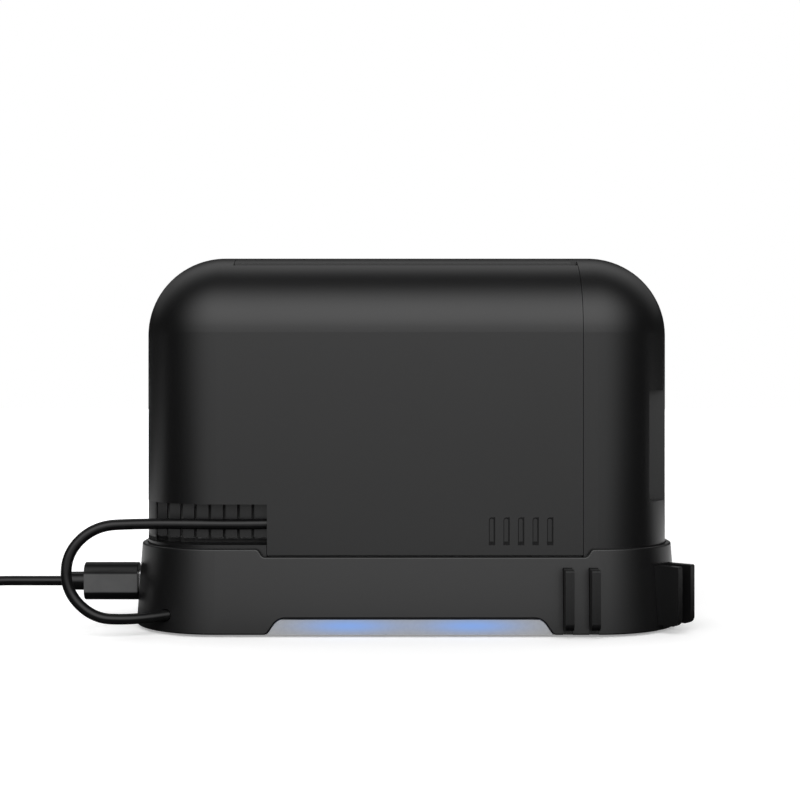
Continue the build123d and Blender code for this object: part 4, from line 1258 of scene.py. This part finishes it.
@dataclass
class PowerLead:
    """Power lead from the base's inlet, with its spare length in a tied coil."""

    shop: Workshop
    diameter: float = 3.8 * MM
    # Shift of the plug's painted light band off the middle of its face.
    lit_band_shift: float = -0.45 * MM
    route: tuple[Point, ...] = (
        (-0.1325, 0.0040, 0.01635), (-0.1460, 0.0040, 0.01635), (-0.1660, 0.0042, 0.01635),
        (-0.1775, 0.0041, 0.01250), (-0.1885, 0.0038, 0.00560), (-0.1985, 0.0034, 0.00265),
        (-0.2055, 0.0034, 0.00265),
    )
    coil_x: float = -0.2205
    mean_diameter: float = 42.0 * MM
    pitch: float = 3.9 * MM
    columns: int = 3
    layers: int = 4
    points_a_turn: int = 16
    entry_angle: float = 90.0
    leave_angle: float = 270.0
    first_step: float = 380.0
    step_arc: float = 60.0
    tail: tuple[Span, ...] = ((0.25, 0.95), (0.45, 0.62), (0.62, 0.22), (0.8, 0.0), (1.0, 0.0))

    def _winding(self) -> list[tuple[float, float, float]]:
        """Where the cord changes column or layer.

        Returns:
            Start angle, column change and layer change of each step, in degrees and turns.
        """
        steps: list[tuple[float, float, float]] = []
        angle = self.first_step
        for layer in range(self.layers):
            inwards = -1.0 if layer % 2 == 0 else 1.0
            for _ in range(self.columns - 1):
                steps.append((angle, inwards, 0.0))
                angle += FULL_TURN
            if layer < self.layers - 1:
                climb = angle - self.step_arc
                steps.append((climb, 0.0, 1.0))
                angle = climb + FULL_TURN - self.step_arc
        return steps

    def coil(self) -> list[Vector]:
        """Control points of the coil's turns.

        Returns:
            The points, from the entry to where the tail leaves.
        """
        start = Vector(self.route[-1])
        outer = self.mean_diameter / 2 + (self.columns - 1) / 2 * self.pitch
        centre = Vector((self.coil_x, start.y - outer, start.z))
        steps = self._winding()
        turns = math.ceil((steps[-1][0] + self.step_arc - self.leave_angle) / FULL_TURN)
        stride = FULL_TURN / self.points_a_turn
        count = round((turns * FULL_TURN + self.leave_angle - self.entry_angle) / stride)
        swell = 1.0 / (0.5 + 0.5 * math.cos(math.radians(stride)) ** 0.5)
        points = []
        for index in range(count + 1):
            angle = self.entry_angle + index * stride
            column, layer = 0.0, 0.0
            for begin, sideways, upwards in steps:
                share = min(max((angle - begin) / self.step_arc, 0.0), 1.0)
                share = share * share * (3.0 - 2.0 * share)
                column += sideways * share
                layer += upwards * share
            radius = (outer + column * self.pitch) * swell
            turn = math.radians(angle)
            offset = (radius * math.cos(turn), radius * math.sin(turn), layer * self.pitch)
            points.append(centre + Vector(offset))
        return points

    def build(self) -> None:
        """Lays the lead and dresses its plugs."""
        shop = self.shop
        coil = self.coil()
        leave, end = coil[-1], shop.middle("far_plug_boot")
        end.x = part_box("far_plug_boot")[0].x
        tail = [
            (leave.x + (end.x - leave.x) * along, end.y, end.z + (leave.z - end.z) * rise)
            for along, rise in self.tail
        ]
        shop.dress_plug("power_plug_body", 2, self.lit_band_shift)
        shop.dress_plug("far_plug_body", 1)
        shop.dress(
            cord="power_plug_boot far_plug_boot",
            tie="coil_tie",
            steel="power_plug_nose far_plug_nose",
        )
        spots = shop.faces("far_plug_nose", mm(-0.3, 0.0, 0.0), mm(0.0, 0.0, 0.93))
        row = (mm(4.8, 0.26, 0.14), 1, 12, 0.5 * MM)
        near = "power_plug_body power_plug_boot power_plug_nose"
        far = "far_plug_body far_plug_boot far_plug_nose"
        shop.lay_cord(
            "power_lead",
            [*self.route, *coil, *tail],
            self.diameter,
            ["power_cord", "power_cord_coil"],
            f"{far} coil_tie {near}",
            [ContactRows(shop, "far_contacts", spots, *row)],
            far_end="plug",
            stiffness="medium",
            lay="coiled",
        )


@dataclass
class Pod:
    """Upper housing with its docking slot, cover and cable exit."""

    shop: Workshop
    network_slope: float = -18.0

    def build(self) -> None:
        """Dresses the pod's pieces and adds its screws, tongues and contacts."""
        self.shop.dress(
            shell="pod_housing front_plate",
            cover="rear_cover",
            panel="cable_exit_panel",
            inner="pod_floor connector_carrier port_shroud network_port fan_frame fan_rotor",
            rubber="pod_feet front_guides rear_guides",
            steel="docking_plug connector_pin video_port power_port",
            board="main_board side_board",
            lens="status_light",
        )
        ScrewSet(self.shop, "pod_screws", 2, 2.4 * MM, 1.25 * MM).build()
        ScrewSet(self.shop, "board_screws", 1, 1.9 * MM, 1.0 * MM).build()
        PortTongues(self.shop).build()
        self._contacts()

    def _contacts(self) -> None:
        """Makes the contacts of the docking plug and of the ports behind the cover."""
        shop = self.shop
        spots = shop.faces("docking_plug", mm(0.0, 0.0, 0.3), mm(0.0, 0.93, 0.0))
        row = (mm(0.26, 0.14, 4.8), 0, 12, 0.5 * MM, Body.CONNECTOR)
        ContactRows(shop, "docking_contacts", spots, *row).build()
        spots = shop.faces("video_port", mm(1.6, 0.0, 0.0), mm(0.0, 0.55, 0.0))
        row = (mm(5.6, 0.14, 0.5), 2, 10, 1.0 * MM)
        ContactRows(shop, "video_contacts", spots, *row).build()
        spots = [shop.middle("network_port") + Vector(mm(0.6, 1.6, 0.0))]
        row = (mm(10.0, 0.3, 0.5), 2, 8, 1.02 * MM)
        slope = (0.0, 0.0, math.radians(self.network_slope))
        ContactRows(shop, "network_contacts", spots, *row, turn=slope).build()


@dataclass
class Base:
    """Lit stand under the pod."""

    shop: Workshop

    def build(self) -> None:
        """Dresses the base's pieces and adds its screws and its mat."""
        self.shop.dress(
            base="base_shell",
            inner="base_floor",
            cord="cord_anchor",
            rail="rear_holder_rails side_holder_rails",
            steel="power_inlet",
            board="led_board base_board",
            diffuser="light_bar",
            lens="led_left led_right",
        )
        ScrewSet(self.shop, "base_screws", 2, 2.4 * MM, 1.25 * MM).build()
        RibbedMat(self.shop).build()


def main() -> None:
    """Builds the object and its studio."""
    logging.basicConfig(level=logging.INFO, format="%(message)s")
    shop = Workshop()
    for part in (Studio(), LinkCord(shop), PowerLead(shop), Pod(shop), Base(shop)):
        part.build()
        LOG.info("built %s", type(part).__name__)
    bpy.context.view_layer.update()


if __name__ == "__main__":
    main()
